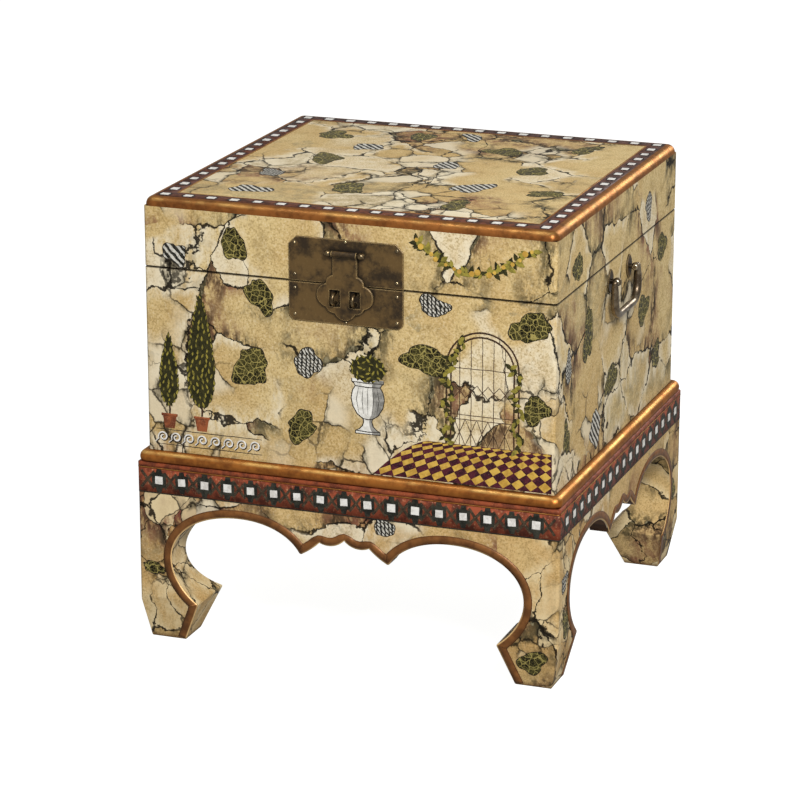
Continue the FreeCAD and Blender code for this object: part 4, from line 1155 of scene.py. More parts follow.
@dataclass
class Stand:
    """The stand: legs, aprons, moulding, the painted band and the copper edge lines. Sizes in mm.

    The pulls are shares of each curve's own width and height.
    """

    width: float = 483.0
    depth: float = 467.0
    height: float = 204.5
    foot_in: float = 49.5
    foot_inset: float = 9.5
    ankle_z: float = 50.0
    hoof: Flat = (69.0, 46.0)
    hoof_pull: Flat = (0.63, 0.275)
    neck: Flat = (38.5, 97.0)
    neck_pull: Flat = (0.35, 0.55)
    arch_z: float = 152.3
    apex_share: float = 0.54
    apex_pull: Flat = (0.61, 0.51)
    cusp_pull: Flat = (0.135, 0.55)
    cusp: Flat = (51.0, 120.3)
    sweep: Flat = (39.0, 127.6)
    notch: Flat = (28.5, 136.5)
    lobe: Flat = (16.0, 134.3)
    peak_z: float = 142.0
    line_w: float = 9.5
    line_t: float = 0.42
    band_h: float = 34.0
    band_t: float = 0.5
    lower_rule_h: float = 1.3
    upper_rule_h: float = 4.6
    copper_rule_h: float = 1.2
    row_share: float = 0.45
    ledge_w: float = 5.0
    corner_r: float = 3.5
    foot_r: float = 2.2
    cusp_r: float = 2.5
    units_per_side: int = 17
    corner_step: float = 12.0
    square: float = 8.8

    def half(self, side: Side) -> float:
        """Half of a side's length."""
        return (self.width if side in (Side.FRONT, Side.BACK) else self.depth) / 2

    def reach(self, side: Side) -> float:
        """How far a side stands from the upright axis."""
        return (self.depth if side in (Side.FRONT, Side.BACK) else self.width) / 2

    def dress(self) -> None:
        """Gives the stand's own boards their finishes."""
        dress([f"{end}_{hand}_leg" for end in ("front", "back") for hand in ("left", "right")], Paints.LEG)
        dress([f"{side.label}_apron" for side in Side], Paints.APRON)
        dress([f"base_moulding_{side.label}" for side in Side], Paints.TRIM)
        dress([f"{side.label}_cleat" for side in Side], Paints.WOOD)
        dress(["cleat_screws"], Paints.STEEL)

    def lower_edge(self, half: float) -> list[Flat]:
        """The sawn lower edge of one side, from the left foot to the right one.

        Args:
            half: Half of the side's length.

        Returns:
            Points along the side, as distance from its middle and height.
        """
        hx, hz = self.hoof
        nx, nz = self.neck
        cx, cz = half - self.cusp[0], self.cusp[1]
        apex, arch_z = nx + self.apex_share * (cx - nx), self.arch_z
        run = cx - apex
        rise = arch_z - nz
        line = [(self.foot_in + (hx - self.foot_in) * k / 12, hz * k / 12) for k in range(13)]
        line[0] = (self.foot_in + (hx - self.foot_in) * 0.03, hz * 0.03)
        off_hoof = hx - self.hoof_pull[0] * (hx - nx), hz + self.hoof_pull[1] * (nz - hz)
        line += bezier((hx, hz), off_hoof, (nx, nz - self.neck_pull[0] * (nz - hz)), (nx, nz), 26)
        off_neck = nx, nz + self.neck_pull[1] * rise
        off_apex = apex - self.apex_pull[0] * (apex - nx), arch_z
        line += bezier((nx, nz), off_neck, off_apex, (apex, arch_z), 40)
        off_cusp = cx - self.cusp_pull[0] * run, cz + self.cusp_pull[1] * (arch_z - cz)
        line += bezier((apex, arch_z), (apex + self.apex_pull[1] * run, arch_z), off_cusp, (cx, cz), 34)
        line += three_point_arc((cx, cz), (half - self.sweep[0], self.sweep[1]),
                                (half - self.notch[0], self.notch[1]), 14)
        line += three_point_arc((half - self.notch[0], self.notch[1]), (half - self.lobe[0], self.lobe[1]),
                                (half, self.peak_z), 16)
        line = eased_corner(eased_corner(line, self.hoof, self.foot_r), (cx, cz), self.cusp_r)
        left = [(s - half, z) for s, z in line]
        return left + [(-u, z) for u, z in reversed(left[:-1])]

    def face_out(self, side: Side, z: float) -> float:
        """How far a side's face stands out at a height: it leans in below the ankle."""
        return self.reach(side) - self.foot_inset * max(0.0, 1.0 - z / self.ankle_z)

    def inner_line(self, edge: Sequence[Flat]) -> list[Flat]:
        """The line's other border, a steady distance into the wood, mitred at corners and level at the soles.

        Args:
            edge: The sawn edge.

        Returns:
            One point for each point of the edge.
        """
        inner = []
        for k, (u, z) in enumerate(edge):
            a, b = edge[max(k - 1, 0)], edge[min(k + 1, len(edge) - 1)]
            share = self.line_w / math.dist(a, b)
            inner.append((u - (b[1] - a[1]) * share, z + (b[0] - a[0]) * share))
        clear = [min(math.dist(p, e) for e in edge[max(0, k - 60):k + 61]) > self.line_w - 0.2
                 for k, p in enumerate(inner)]
        start = 0
        while start < len(inner):
            end = start
            while end < len(inner) and not clear[end]:
                end += 1
            if end > start:
                a, b = inner[max(start - 1, 0)], inner[min(end, len(inner) - 1)]
                inner[start:end] = [((a[0] + b[0]) / 2, (a[1] + b[1]) / 2)] * (end - start)
            start = end + 1
        for end, after in ((0, 1), (-1, -2)):
            (u, z), (un, zn) = inner[end], inner[after]
            inner[end] = (u - (un - u) * (z - edge[end][1]) / (zn - z), edge[end][1])
        return inner

    def build_edge_lines(self) -> None:
        """Makes the copper line along each side's sawn edge."""
        tree = edge_strip_tree()
        for side in Side:
            edge = self.lower_edge(self.half(side))
            inner = self.inner_line(edge)
            outer = [side.place(u, self.face_out(side, z), z) for u, z in edge]
            other = [side.place(u, self.face_out(side, z), z) for u, z in inner]
            mesh = bpy.data.meshes.new("edge_guide")
            mesh.from_pydata([tuple(p) for p in outer], [(k, k + 1) for k in range(len(outer) - 1)], [])
            insets = [v for a, b in zip(outer, other) for v in (b - a)]
            mesh.attributes.new("inset", "FLOAT_VECTOR", "POINT").data.foreach_set("vector", insets)
            lift = side.place(0.0, self.line_t, 0.0)
            piece = tree.run(f"edge_line_{side.label}", mesh, Paints.LINE, Lift=lift)
            settle(piece, Body.CASE, Slot.COPPER)

    def build_band(self) -> None:
        """Makes the brick band, its rules, its dark blocks and its chalk squares."""
        ring = ring_tree()
        empty = bpy.data.meshes.new("band_guide")

        def strip(name: str, paint: Paints, low: float, high: float, thick: float) -> None:
            """One strip round the stand between two heights."""
            piece = ring.run(name, empty.copy(), paint, Width=self.width * MM, Depth=self.depth * MM,
                             Corner=self.corner_r * MM, Across=2 * thick * MM, Tall=(high - low) * MM,
                             Level=(low + high) / 2 * MM)
            settle(piece, Body.CASE, Slot.PAINT)

        top, foot = self.height, self.height - self.band_h
        under_rule = top - self.upper_rule_h
        strip("band_ground", Paints.BRICK, foot, top, self.band_t * 0.5)
        strip("band_lower_rule", Paints.OUTLINE, foot, foot + self.lower_rule_h, self.band_t * 0.7)
        strip("band_upper_rule", Paints.DEEP_RED, under_rule, top, self.band_t * 0.7)
        strip("band_copper_line", Paints.TRIM, under_rule - self.copper_rule_h, under_rule, self.band_t)
        ledge = ring.run("band_ledge", empty.copy(), Paints.DEEP_RED, Width=(self.width - self.ledge_w) * MM,
                         Depth=(self.depth - self.ledge_w) * MM,
                         Corner=(self.corner_r - self.ledge_w / 2) * MM,
                         Across=self.ledge_w * MM, Tall=self.band_t * MM, Level=top * MM)
        settle(ledge, Body.CASE, Slot.PAINT)
        spots: dict[str, list[Vector]] = {"blocks": [], "struts": []}
        turns: dict[str, list[float]] = {"blocks": [], "struts": []}
        for side in Side:
            pitch = (2 * self.half(side) - 2 * self.corner_step) / self.units_per_side
            for k in range(2 * self.units_per_side + 1):
                along = (k - self.units_per_side) * pitch / 2
                kind = "blocks" if k % 2 else "struts"
                spots[kind].append(side.place(along, self.reach(side), foot + self.band_h * self.row_share))
                turns[kind].append(side.turn)
        block = [(-2.6, 12.6), (2.6, 12.8), (3.4, 8.6), (7.6, 7.6), (8.2, 1.0), (7.7, -6.6), (4.0, -8.2),
                 (2.6, -13.4), (-2.2, -13.2), (-3.8, -8.4), (-7.4, -7.2), (-8.3, 0.6), (-7.7, 7.2),
                 (-3.6, 8.4)]
        strut = [(-8.8, -8.6), (-6.2, -10.6), (0.0, -2.4), (6.2, -10.4), (8.8, -8.8), (2.2, 0.2), (8.8, 8.6),
                 (6.4, 10.4), (0.2, 2.6), (-6.2, 10.6), (-8.6, 8.8), (-2.2, 0.0)]
        half = self.square / 2
        square = [(-half, -half), (half, -half * 0.94), (half * 0.97, half), (-half, half * 0.96)]
        for name, kind, outline, lift, paint in (("band_struts", "struts", strut, 0.34, Paints.STRUT),
                                                 ("band_blocks", "blocks", block, 0.42, Paints.BLOCK),
                                                 ("band_squares", "blocks", square, 0.55, Paints.CHALK)):
            carrier = points_mesh(spots[kind], turns[kind])
            grow_units(name, Spots.POINTS, carrier, unit_plate(outline, lift), paint, Body.CASE, tilt=0.05,
                       spread=0.06, seed=len(name))


@dataclass
class Case:
    """The boarded case. Sizes in mm."""

    width: float = 464.0
    depth: float = 448.0
    seam_z: float = 423.0

    def dress(self) -> None:
        """Gives the case's boards their finishes."""
        dress([f"case_{side.label}_panel" for side in Side], Paints.CASE)
        dress(["case_bottom_panel"], Paints.WOOD)

    def reach(self, side: Side) -> float:
        """How far a side stands from the upright axis."""
        return (self.depth if side in (Side.FRONT, Side.BACK) else self.width) / 2


@dataclass
class Lid:
    """The lid with its nosing and its painted border. Sizes in mm."""

    border_out: Flat = (222.0, 214.0)
    border_w: float = 18.5
    line_w: float = 1.8
    row_out: float = 1.0
    top_z: float = 500.0
    film: float = 0.2
    dashes: int = 16
    dash: Flat = (9.6, 8.4)
    block: Flat = (15.4, 12.6)

    def dress(self) -> None:
        """Gives the lid's boards their finishes."""
        dress(["lid_top_panel"] + [f"lid_{side.label}_rail" for side in Side], Paints.CASE)
        dress([f"lid_nosing_{side.label}" for side in Side], Paints.NOSING)

    def build_border(self) -> None:
        """Makes the maroon border on the top and the chalk dashes along it."""
        middle = [v - self.border_w / 2 for v in self.border_out]
        border = ring_tree().run("top_border", bpy.data.meshes.new("border_guide"), Paints.BORDER,
                                 Width=2 * middle[0] * MM, Depth=2 * middle[1] * MM, Corner=0.0,
                                 Across=self.border_w * math.sqrt(2) * MM, Tall=2 * self.film * MM,
                                 Level=self.top_z * MM)
        settle(border, Body.LID, Slot.PAINT)
        line = ring_tree().run("top_border_line", bpy.data.meshes.new("border_guide"), Paints.TRIM,
                               Width=2 * (middle[0] - self.border_w / 2) * MM,
                               Depth=2 * (middle[1] - self.border_w / 2) * MM, Corner=0.0,
                               Across=self.line_w * math.sqrt(2) * MM, Tall=3 * self.film * MM,
                               Level=self.top_z * MM)
        settle(line, Body.LID, Slot.COPPER)
        points, turns = [], []
        middle = [v + self.row_out for v in middle]
        for side in Side:
            along, out = (middle[0], middle[1]) if side in (Side.FRONT, Side.BACK) else (middle[1], middle[0])
            pitch = 2 * along / self.dashes
            for k in range(self.dashes):
                points.append(side.place(k * pitch - along, out, self.top_z + self.film))
                turns.append(side.turn)
        for name, (wide, deep), ease, lift, paint in (
                ("top_border_blocks", self.block, 0.45, 0.1, Paints.DARK_BLOCK),
                ("top_border_dashes", self.dash, 0.86, 0.2, Paints.CHALK)):
            a, b = wide / 2, deep / 2
            shape = [(-a, -b * ease), (-a * ease, -b), (a * ease, -b * 0.96), (a, -b * ease),
                     (a * 0.96, b * ease), (a * ease, b), (-a * ease, b * 0.94), (-a * 0.97, b * ease)]
            unit = unit_plate(shape, lift, upright=False)
            grow_units(name, Spots.POINTS, points_mesh(points, turns), unit, paint, Body.LID, spread=0.06,
                       seed=5)


Places = dict[Side | None, list[tuple[float, float, float]]]


@dataclass(frozen=True)
class Scrap:
    """One inlaid scrap: where it lies, its radius, its finish and how long it is. Sizes in mm.

    Without a side it lies on the top, at the distance along and back from the middle.
    """

    side: Side | None
    along: float
    up: float
    size: float
    paint: Paints
    stretch: float


@dataclass
class Inlay:
    """The netted, woven and striped scraps on every face, by place and radius. Sizes in mm."""

    stand: Stand
    case: Case
    lid: Lid
    coat: float = 0.2
    rim: float = 0.9
    least_stretch: float = 1.02
    stretch_step: float = 0.09
    netted: Places = field(default_factory=lambda: {
        Side.FRONT: [(-110, 322, 20), (-98, 402, 16), (-52, 262, 16), (90, 350, 20), (204, 396, 18),
                     (211, 308, 14), (-128, 456, 15), (212, 30, 14), (-224, 84, 9)],
        Side.RIGHT: [(-152, 446, 15), (-112, 362, 21), (98, 336, 18), (-24, 288, 18), (170, 392, 16),
                     (154, 268, 15), (-184, 268, 13), (208, 90, 10), (-208, 70, 12)],
        Side.BACK: [(-150, 388, 18), (-40, 328, 20), (112, 368, 17), (176, 288, 18), (-176, 268, 16),
                    (30, 256, 15), (-60, 456, 14), (214, 70, 12)],
        Side.LEFT: [(-150, 340, 18), (-60, 280, 18), (72, 326, 20), (160, 388, 16), (122, 260, 15),
                    (-120, 452, 14), (-206, 64, 12), (208, 100, 9)],
        None: [(-150, 130, 19), (-52, 154, 16), (62, 112, 19), (146, 152, 16), (-116, 14, 20), (122, 30, 18),
               (168, -66, 16), (-40, -112, 20), (94, -146, 17)]})
    woven: Places = field(default_factory=lambda: {
        Side.FRONT: [(-44, 334, 15), (98, 410, 13), (46, 162, 10)],
        Side.RIGHT: [(112, 452, 13), (-180, 344, 13), (-214, 118, 9)],
        Side.BACK: [(-104, 302, 15), (-221, 90, 9)],
        Side.LEFT: [(14, 250, 13), (182, 300, 12)],
        None: [(-146, -72, 14)]})
    striped: Places = field(default_factory=lambda: {
        Side.FRONT: [(-196, 440, 12)],
        Side.RIGHT: [(-80, 248, 19)],
        Side.BACK: [(-8, 402, 15), (192, 392, 13)],
        Side.LEFT: [(-172, 262, 16), (104, 452, 13)],
        None: [(-92, 84, 16), (86, -66, 20), (-138, -152, 18), (4, 170, 14), (24, 26, 15)]})

    def scraps(self) -> list[Scrap]:
        """All scraps, one after another."""
        kinds = ((Paints.NET, self.netted), (Paints.WEAVE, self.woven), (Paints.STRIPE, self.striped))
        return [Scrap(side, u, v, size, paint, self.least_stretch + self.stretch_step * (k * 3 % 5))
                for paint, places in kinds
                for side, spots in places.items() for k, (u, v, size) in enumerate(spots)]

    def reach(self, side: Side, up: float) -> float:
        """How far a side stands out at a height."""
        if up < self.stand.height:
            return self.stand.face_out(side, up)
        return self.case.reach(side)

    def carrier(self, scrap: Scrap) -> Body:
        """The body that carries a scrap."""
        return Body.LID if scrap.side is None or scrap.up > self.case.seam_z else Body.CASE

    def plate(self, scrap: Scrap, seed: int, grown: float, lift: float) -> Plate:
        """One scrap's plate.

        Args:
            scrap: The scrap.
            seed: The fixed seed of its outline.
            grown: How much wider it is than the scrap.
            lift: How far it stands proud.

        Returns:
            The plate's outline and its lift, in metres.
        """
        outline = [(scrap.along + u * (1.0 + grown / scrap.size), scrap.up + v * (1.0 + grown / scrap.size))
                   for u, v in ragged_outline(scrap.size, scrap.stretch, seed)]
        if scrap.side is None:
            points = [Vector((u, v, self.lid.top_z)) * MM for u, v in outline]
            return points, Vector((0.0, 0.0, lift * MM))
        points = [scrap.side.place(u, self.reach(scrap.side, v), v) for u, v in outline]
        return points, scrap.side.place(0.0, lift, 0.0)

    def build(self) -> None:
        """Makes the scraps and their dark rims, by body and finish."""
        numbered = list(enumerate(self.scraps()))
        for body in (Body.CASE, Body.LID):
            here = [(seed, scrap) for seed, scrap in numbered if self.carrier(scrap) is body]
            rims = [self.plate(scrap, seed, self.rim, self.coat / 2) for seed, scrap in here]
            film(f"{body.value}_scrap_rims", rims, Paints.OUTLINE, body)
            for paint in (Paints.NET, Paints.WEAVE, Paints.STRIPE):
                plates = [self.plate(scrap, seed, 0.0, self.coat) for seed, scrap in here
                          if scrap.paint is paint]
                if plates:
                    film(f"{body.value}_{paint.value.name}s", plates, paint, body)


@dataclass
class FrontPicture:
    """The garden on the front: terrace, cypresses, urn, trellis, scroll and swag. Sizes in mm."""

    reach: float
    coat: float = 0.12
    terrace: tuple[float, float, float, float] = (30.0, 229.0, 218.6, 262.0)
    slant: float = 62.0
    tiles: tuple[int, int] = (13, 5)
    scroll: tuple[float, float, float, float] = (-222.0, -98.0, 225.0, 242.0)
    curls: int = 8
    curl_r: float = 5.9
    cypresses: tuple[tuple[float, float, float], ...] = ((-168.0, 250.0, 150.0), (-206.0, 250.0, 102.0))
    spire_up: float = 20.0
    urn: Flat = (24.0, 262.0)
    bush: tuple[float, float, float] = (72.0, 19.0, 14.0)
    trellis: tuple[float, float, float] = (152.0, 262.0, 40.0)
    post_h: float = 84.0
    rail_h: float = 28.0
    frame_bar: float = 5.0
    lath_pitch: float = 12.5
    vine_step: float = 3.2
    swag: tuple[Flat, Flat] = ((78.0, 478.0), (206.0, 478.0))
    droop: float = 30.0
    leaf: tuple[Flat, ...] = ((0.0, -2.6), (0.9, -1.0), (0.9, 0.6), (0.0, 2.8), (-0.8, 0.8), (-1.0, -0.8))

    def spot(self, along: float, up: float, coat: float = 0.0) -> Vector:
        """A point on the front, over that many coats of paint."""
        return Side.FRONT.place(along, self.reach + coat * self.coat, up)

    def film(self, name: str, outlines: Sequence[Sequence[Flat]], paint: Paints, coat: float = 0.0) -> None:
        """Flat shapes in one paint, over that many coats."""
        lift = Side.FRONT.place(0.0, self.coat, 0.0)
        plates = [([self.spot(u, v, coat) for u, v in outline], lift) for outline in outlines]
        film(name, plates, paint, Body.CASE)

    def strokes(self, name: str, lines: Sequence[Sequence[Flat]], width: float, paint: Paints,
                coat: float = 0.0, taper: float = 0.35, body: Body = Body.CASE) -> None:
        """Brush strokes along lines.

        Args:
            name: The piece's name.
            lines: The lines on the front.
            width: The brush's width.
            paint: The finish.
            coat: How many coats lie below.
            taper: How much thinner the strokes are at their ends.
            body: The body that carries them.
        """
        points = [[self.spot(u, v, coat) for u, v in line] for line in lines]
        piece = stroke_tree().run(name, lines_mesh(points, taper), paint, Width=width * MM, Flat=0.16,
                                  Facing=(0.0, -1.0, 0.0), Reach=(self.reach + coat * self.coat) * MM)
        settle(piece, body, Slot.PAINT)

    def drawn(self, a: Flat, b: Flat, seed: int, wobble: float = 0.3) -> list[Flat]:
        """A hand-drawn straight line between two points."""
        dice = random.Random(seed)
        steps = max(3, round(math.dist(a, b) / 7.0))
        return [(a[0] + (b[0] - a[0]) * k / steps + dice.uniform(-wobble, wobble),
                 a[1] + (b[1] - a[1]) * k / steps + dice.uniform(-wobble, wobble)) for k in range(steps + 1)]

    def leaves(self, name: str, outlines: Sequence[Sequence[Flat]], paint: Paints, coat: float, apart: float,
               seed: int, tilt: float = 0.6, size: float = 1.0) -> None:
        """Leaves scattered over flat shapes.

        Args:
            name: The piece's name.
            outlines: The shapes that the leaves cover.
            paint: The finish.
            coat: How many coats lie below.
            apart: How far apart the leaves are.
            seed: The fixed seed.
            tilt: How far they lean at most, in radians.
            size: How large they are.
        """
        points, faces = [], []
        for outline in outlines:
            faces.append(list(range(len(points), len(points) + len(outline))))
            points += [tuple(self.spot(u, v, coat)) for u, v in outline]
        mesh = bpy.data.meshes.new("leafy_ground")
        mesh.from_pydata(points, [], faces)
        carrier, unit = held(mesh, turn=0.0, grow=size), unit_plate(self.leaf, self.coat)
        grow_units(name, Spots.FACES, carrier, unit, paint, Body.CASE, apart=apart * MM, tilt=tilt,
                   spread=0.25, seed=seed)

    def build(self) -> None:
        """Makes the whole picture."""
        self.build_terrace()
        self.build_scroll()
        self.build_cypresses()
        self.build_urn()
        self.build_trellis()
        self.build_swag()

    def build_terrace(self) -> None:
        """Makes the maroon floor and its ochre lozenges."""
        left, right, base, top = self.terrace
        columns, rows = self.tiles
        edge = [(0.0, 1.0 - k / 12) for k in range(12)]
        floor = [(0.0, 0.0), (1.0, 0.0), (1.0, 1.0)] + edge
        a, b = 0.47 / columns, 0.47 / rows
        lozenge = [(-a, 0.0), (0.0, -b), (a, 0.0), (0.0, b)]
        centres = [((i + 0.5) / columns, (j + 0.5) / rows) for i in range(columns) for j in range(rows)]
        for name, outline, spots, coat, paint in (("terrace_floor", floor, [(0.0, 0.0)], 0.0, Paints.MAROON),
                                                  ("terrace_tiles", lozenge, centres, 1.0, Paints.OCHRE)):
            plate = ([Vector((u, 0.0, v)) for u, v in outline], Vector((0.0, -self.coat * MM, 0.0)))
            unit = new_piece(name + "_unit", slab("unit", [plate]))
            out = (self.reach + coat * self.coat) * MM
            carrier = points_mesh([Vector((u, -out, v)) for u, v in spots])
            piece = terrace_tree().run(name, carrier, paint, Unit=unit, Left=left * MM, Right=right * MM,
                                       Slant=self.slant * MM, Base=base * MM, Rise=(top - base) * MM)
            bpy.data.objects.remove(unit)
            settle(piece, Body.CASE, Slot.PAINT)

    def build_scroll(self) -> None:
        """Makes the running scroll between its two rules."""
        left, right, low, high = self.scroll
        middle, pitch = (low + high) / 2, (right - left) / self.curls
        curl = []
        for k in range(34):
            angle = math.pi * (1.15 - 2.75 * k / 33)
            radius = self.curl_r * (1.0 - 0.75 * k / 33)
            curl.append((radius * math.cos(angle), radius * math.sin(angle)))
        curl = [(-9.0, -6.2), (-7.4, -4.6)] + curl
        for name, shift, width, paint, coat in (("scroll_shadows", 0.8, 2.2, Paints.OUTLINE, 0.0),
                                                ("scroll_curls", 0.0, 2.0, Paints.CHALK, 1.0)):
            lines = [[(left + (i + 0.5) * pitch + u + shift, middle + v - shift) for u, v in curl]
                     for i in range(self.curls)]
            self.strokes(name, lines, width, paint, coat, 0.5)
        rules = [self.drawn((left, z), (right, z), int(z), 0.2) for z in (low, high)]
        self.strokes("scroll_rules", rules, 1.0, Paints.OUTLINE)

    def build_cypresses(self) -> None:
        """Makes the clay pots, the stems and the leafy spires."""
        spires, pots, stems, rims = [], [], [], []
        for u, z, tall in self.cypresses:
            wide = tall * 0.105
            foot = z + self.spire_up
            right = [(u + wide * math.sin(math.pi * (k / 24) ** 0.6) ** 0.85,
                      foot + (tall - self.spire_up) * k / 24) for k in range(25)]
            left = [(2 * u - a, b) for a, b in reversed(right[1:-1])]
            spires.append(right + left)
            pots.append([(u - 5.6, z - 6.0), (u + 5.6, z - 6.0), (u + 8.4, z + 9.0), (u - 8.4, z + 9.0)])
            rims += [self.drawn((u - 9.4, z + 9.0), (u + 9.4, z + 9.0), int(tall), 0.1)]
            stems.append([(u, z + 9.0), (u + 0.6, z + 15.0), (u, foot + 4.0)])
        self.strokes("cypress_stems", stems, 2.4, Paints.LATH)
        self.film("cypress_shade", spires, Paints.PINE)
        self.leaves("cypress_dark_leaves", spires, Paints.PINE, 1.0, 3.4, 4, 0.5, 1.35)
        self.leaves("cypress_light_leaves", spires, Paints.LIME, 2.0, 5.2, 9, 0.45, 1.05)
        self.film("cypress_pots", pots, Paints.CLAY)
        self.strokes("cypress_pot_rims", rims, 3.0, Paints.CLAY, 1.0, 0.0)

    def build_urn(self) -> None:
        """Makes the stone urn, its shaded side, its ink lines and the bush in it."""
        u, z = self.urn
        profile = [(14.0, 0.0), (14.0, 3.2), (10.0, 5.0), (6.4, 8.6), (4.6, 13.6), (5.4, 17.0), (12.0, 21.6),
                   (17.0, 30.0), (18.8, 39.0), (17.4, 47.0), (14.2, 52.6), (15.6, 55.4), (18.0, 57.0),
                   (18.0, 60.6)]
        right = [(u + w, z + h) for w, h in profile]
        left = [(u - w, z + h) for w, h in reversed(profile)]
        shade = [(u + w * 0.96, z + h) for w, h in profile]
        shade += [(u + w * 0.34, z + h) for w, h in reversed(profile)]
        up, wide, tall = self.bush
        bush = [(u + wide * math.cos(math.tau * k / 28), z + up + tall * math.sin(math.tau * k / 28))
                for k in range(28)]
        self.film("urn_bush_shade", [bush], Paints.PINE)
        self.leaves("urn_bush_dark_leaves", [bush], Paints.PINE, 1.0, 3.6, 14, 1.4, 1.3)
        self.leaves("urn_bush_light_leaves", [bush], Paints.LIME, 2.0, 5.0, 16, 1.4)
        self.film("urn_body", [right + left], Paints.STONE)
        self.film("urn_dark_side", [shade], Paints.STONE_SHADE, 1.0)
        bands = [[(u - w, z + h), (u, z + h - 0.8), (u + w, z + h)] for w, h in profile
                 if h in (3.2, 17.0, 52.6, 57.0)]
        flutes = [[(u + 5.0 * k, z + 22.0), (u + 6.4 * k, z + 38.0), (u + 5.2 * k, z + 51.0)]
                  for k in (-2, -1, 0, 1, 2)]
        self.strokes("urn_lines", [right, left, right[:1] + left[-1:]] + bands, 1.1, Paints.OUTLINE, 2.0, 0.2)
        self.strokes("urn_flutes", flutes, 0.7, Paints.OUTLINE, 2.0, 0.6)

    def build_trellis(self) -> None:
        """Makes the arched trellis, the vine that climbs it and the vine's leaves."""
        u, z, half = self.trellis
        spring, pitch = z + self.post_h, self.lath_pitch
        frame_lines, laths = [], []
        for inset in (0.0, self.frame_bar):
            radius = half - inset
            arch = [(u - radius * math.cos(math.pi * k / 20), spring + radius * math.sin(math.pi * k / 20))
                    for k in range(21)]
            frame_lines.append(self.drawn((u - radius, z), (u - radius, spring), 3) + arch
                               + self.drawn((u + radius, spring), (u + radius, z), 4))
        for k in range(-2, 3):
            head = spring + math.sqrt((half - self.frame_bar) ** 2 - (k * pitch) ** 2)
            laths.append(self.drawn((u + k * pitch, z), (u + k * pitch, head), 10 + k))
        for k, height in enumerate((self.rail_h, self.rail_h + self.frame_bar, self.post_h)):
            laths.append(self.drawn((u - half, z + height), (u + half, z + height), 20 + k))
        for k in range(-3, 4):
            for slope in (-1.0, 1.0):
                a, b = u + k * pitch - slope * 6.2, u + k * pitch + slope * 6.2
                if abs(a - u) < half and abs(b - u) < half:
                    laths.append(self.drawn((a, z), (b, z + self.rail_h), 30 + k))
                    laths.append(self.drawn((a, z + 52.0), (b, z + 66.0), 60 + k))
        vines = []
        for hand, tall in ((-1.0, 150.0), (1.0, 96.0)):
            vine = []
            for k in range(int(tall / self.vine_step)):
                up = k * self.vine_step
                over = up - self.post_h
                aside = half - 2.0 + 5.0 * math.sin(k * 0.62) - max(0.0, over) * 0.32
                vine.append((u + hand * aside, z + min(up, self.post_h + over * 0.55)))
            vines.append(vine)
        self.strokes("trellis_laths", laths, 0.9, Paints.LATH, 0.0, 0.2)
        self.strokes("trellis_frame", frame_lines, 2.0, Paints.LATH, 0.5, 0.1)
        self.strokes("trellis_vines", vines, 1.3, Paints.PINE, 1.0)
        for name, apart, seed, paint, coat in (("trellis_dark_leaves", 4.1, 21, Paints.PINE, 1.5),
                                               ("trellis_light_leaves", 5.7, 25, Paints.LIME, 2.2)):
            carrier = lines_mesh([[self.spot(a, b, coat) for a, b in vine] for vine in vines])
            unit = unit_plate([(a * 2.1, b * 1.5 + 3.0) for a, b in self.leaf], self.coat)
            grow_units(name, Spots.LINES, carrier, unit, paint, Body.CASE, apart * MM, 3.0, 0.3, seed)

    def build_swag(self) -> None:
        """Makes the drooping swag of leaves on the lid's front."""
        (ua, za), (ub, zb) = self.swag
        line = [(ua + (ub - ua) * k / 30, za + (zb - za) * k / 30 - self.droop * math.sin(math.pi * k / 30))
                for k in range(31)]
        self.strokes("swag_stem", [line], 1.8, Paints.LATH, body=Body.LID)
        for name, apart, seed, paint, coat in (("swag_dark_leaves", 2.6, 31, Paints.PINE, 1.0),
                                               ("swag_light_leaves", 3.3, 37, Paints.LIME, 2.0),
                                               ("swag_fruit", 9.0, 41, Paints.OCHRE, 3.0)):
            carrier = lines_mesh([[self.spot(a, b, coat) for a, b in line]])
            shape = [(a * 2.3, b * 1.7 + 4.0) for a, b in self.leaf]
            if paint is Paints.OCHRE:
                angles = [math.tau * k / 12 for k in range(12)]
                shape = [(2.6 * math.cos(angle), 2.6 * math.sin(angle) + 2.0) for angle in angles]
            unit = unit_plate(shape, self.coat)
            grow_units(name, Spots.LINES, carrier, unit, paint, Body.LID, apart * MM, 2.6, 0.3, seed)


@dataclass
class Ironwork:
    """The lock, its hasp, the hinges and the drop handles."""

    hands: tuple[str, str] = ("left", "right")

    def dress(self) -> None:
        """Gives the metal pieces their finishes."""
        dress(["upper_lock_plate", "lower_lock_plate", "hasp"], Paints.BRONZE)
        dress(["upper_plate_pins", "lower_plate_pins", "hasp_posts", "hasp_pin", "lock_staples"],
              Paints.BRASS)
        for hand in self.hands:
            dress([f"{hand}_hinge_case_leaf", f"{hand}_hinge_lid_leaf"], Paints.BRONZE)
            dress([f"{hand}_hinge_pin"], Paints.STEEL)
            dress([f"{hand}_handle_rosettes"], Paints.BRONZE)
            dress([f"{hand}_handle_posts", f"{hand}_handle_bail"], Paints.HANDLE)
        dress(["hinge_case_screws", "hinge_lid_screws"], Paints.BRASS)


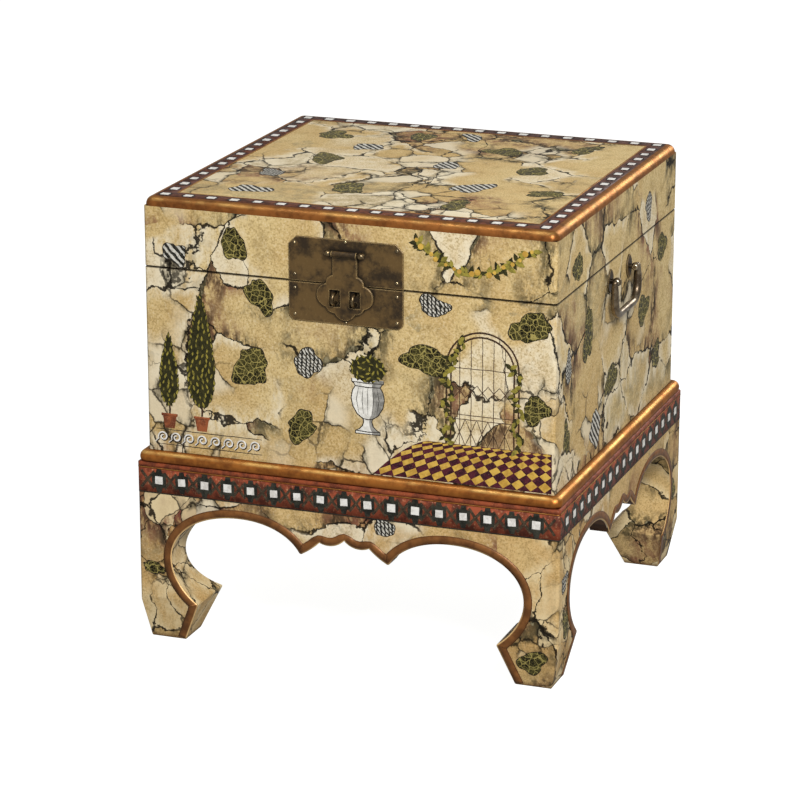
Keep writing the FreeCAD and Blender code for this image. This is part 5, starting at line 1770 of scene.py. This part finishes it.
@dataclass
class Studio:
    """The pale floor, the soft lights and the camera. Angles in degrees, lengths in metres, lens in mm."""

    azimuth: float = 20.2708
    elevation: float = 17.0067
    distance: float = 3.74718
    target: tuple[float, float, float] = (-0.022417, 0.0, 0.230767)
    lens: float = 149.266
    sensor: float = 36.0
    floor_reach: float = 40.0
    floor_tones: tuple[Colour, Colour] = (tint(138, 138, 137), tint(135, 135, 134))
    floor_glow: Colour = (1.0, 1.0, 0.99, 1.0)
    glow_strength: float = 0.95
    surround: float = 0.38
    lamps: list[tuple[str, tuple[float, float, float], float, float]] = field(default_factory=lambda: [
        ("key_lamp", (1.40, -2.0, 2.1), 0.7, 98.0),
        ("back_lamp", (0.98, 2.25, 1.33), 0.9, 15.0),
        ("top_lamp", (-0.6, -0.6, 2.7), 0.5, 6.0),
    ])

    def build(self) -> None:
        """Makes the floor, the light and the camera."""
        self._floor()
        self._lights()
        self._camera()

    def _floor(self) -> None:
        """A wide pale floor."""
        mesh = bpy.data.meshes.new("pale_floor")
        far = self.floor_reach
        mesh.from_pydata([(-far, -far, 0), (far, -far, 0), (far, far, 0), (-far, far, 0)], [], [(0, 1, 2, 3)])
        graph = ShaderGraph("pale_floor")
        cloud = graph.noise(graph.place(), 3.0, 3.0)
        colour = graph.blend(graph.fade(cloud, 0.3, 0.7), *self.floor_tones)
        mesh.materials.append(graph.close({"Base Color": colour, "Roughness": 0.9,
                                           "Emission Color": self.floor_glow,
                                           "Emission Strength": self.glow_strength}))
        floor = new_piece("pale_floor", mesh)
        floor.visible_diffuse = floor.visible_glossy = False

    def _lights(self) -> None:
        """A white surround and three soft lamps."""
        world = bpy.data.worlds.new("white_surround")
        world.use_nodes = True
        background = world.node_tree.nodes["Background"]
        background.inputs["Color"].default_value = (1.0, 1.0, 1.0, 1.0)
        background.inputs["Strength"].default_value = self.surround
        bpy.context.scene.world = world
        for name, place, size, energy in self.lamps:
            lamp = bpy.data.lights.new(name, "AREA")
            lamp.size, lamp.energy = size, energy
            holder = bpy.data.objects.new(name, lamp)
            holder.location = place
            aim = Vector(self.target) - Vector(place)
            holder.rotation_euler = aim.to_track_quat("-Z", "Y").to_euler()
            bpy.context.scene.collection.objects.link(holder)

    def _camera(self) -> None:
        """The camera at the photograph's angle."""
        azimuth, elevation = math.radians(self.azimuth), math.radians(self.elevation)
        lens = bpy.data.cameras.new("camera")
        lens.lens, lens.sensor_width, lens.sensor_fit = self.lens, self.sensor, "HORIZONTAL"
        lens.clip_end = 3.0 * self.floor_reach
        away = Vector((math.sin(azimuth) * math.cos(elevation), -math.cos(azimuth) * math.cos(elevation),
                       math.sin(elevation)))
        camera = bpy.data.objects.new("camera", lens)
        camera.location = Vector(self.target) + away * self.distance
        camera.rotation_euler = (-away).to_track_quat("-Z", "Y").to_euler()
        bpy.context.scene.collection.objects.link(camera)
        bpy.context.scene.camera = camera
        bpy.context.scene.view_settings.view_transform = "Standard"


def main() -> None:
    """Builds and dresses the chest, then the studio round it."""
    logging.basicConfig(level=logging.INFO, format="%(name)s: %(message)s")
    stand, case, lid, ironwork = Stand(), Case(), Lid(), Ironwork()
    for part in (stand, case, lid, ironwork):
        part.dress()
    stand.build_band()
    stand.build_edge_lines()
    lid.build_border()
    Inlay(stand, case, lid).build()
    FrontPicture(case.reach(Side.FRONT)).build()
    Studio().build()


if __name__ == "__main__":
    main()
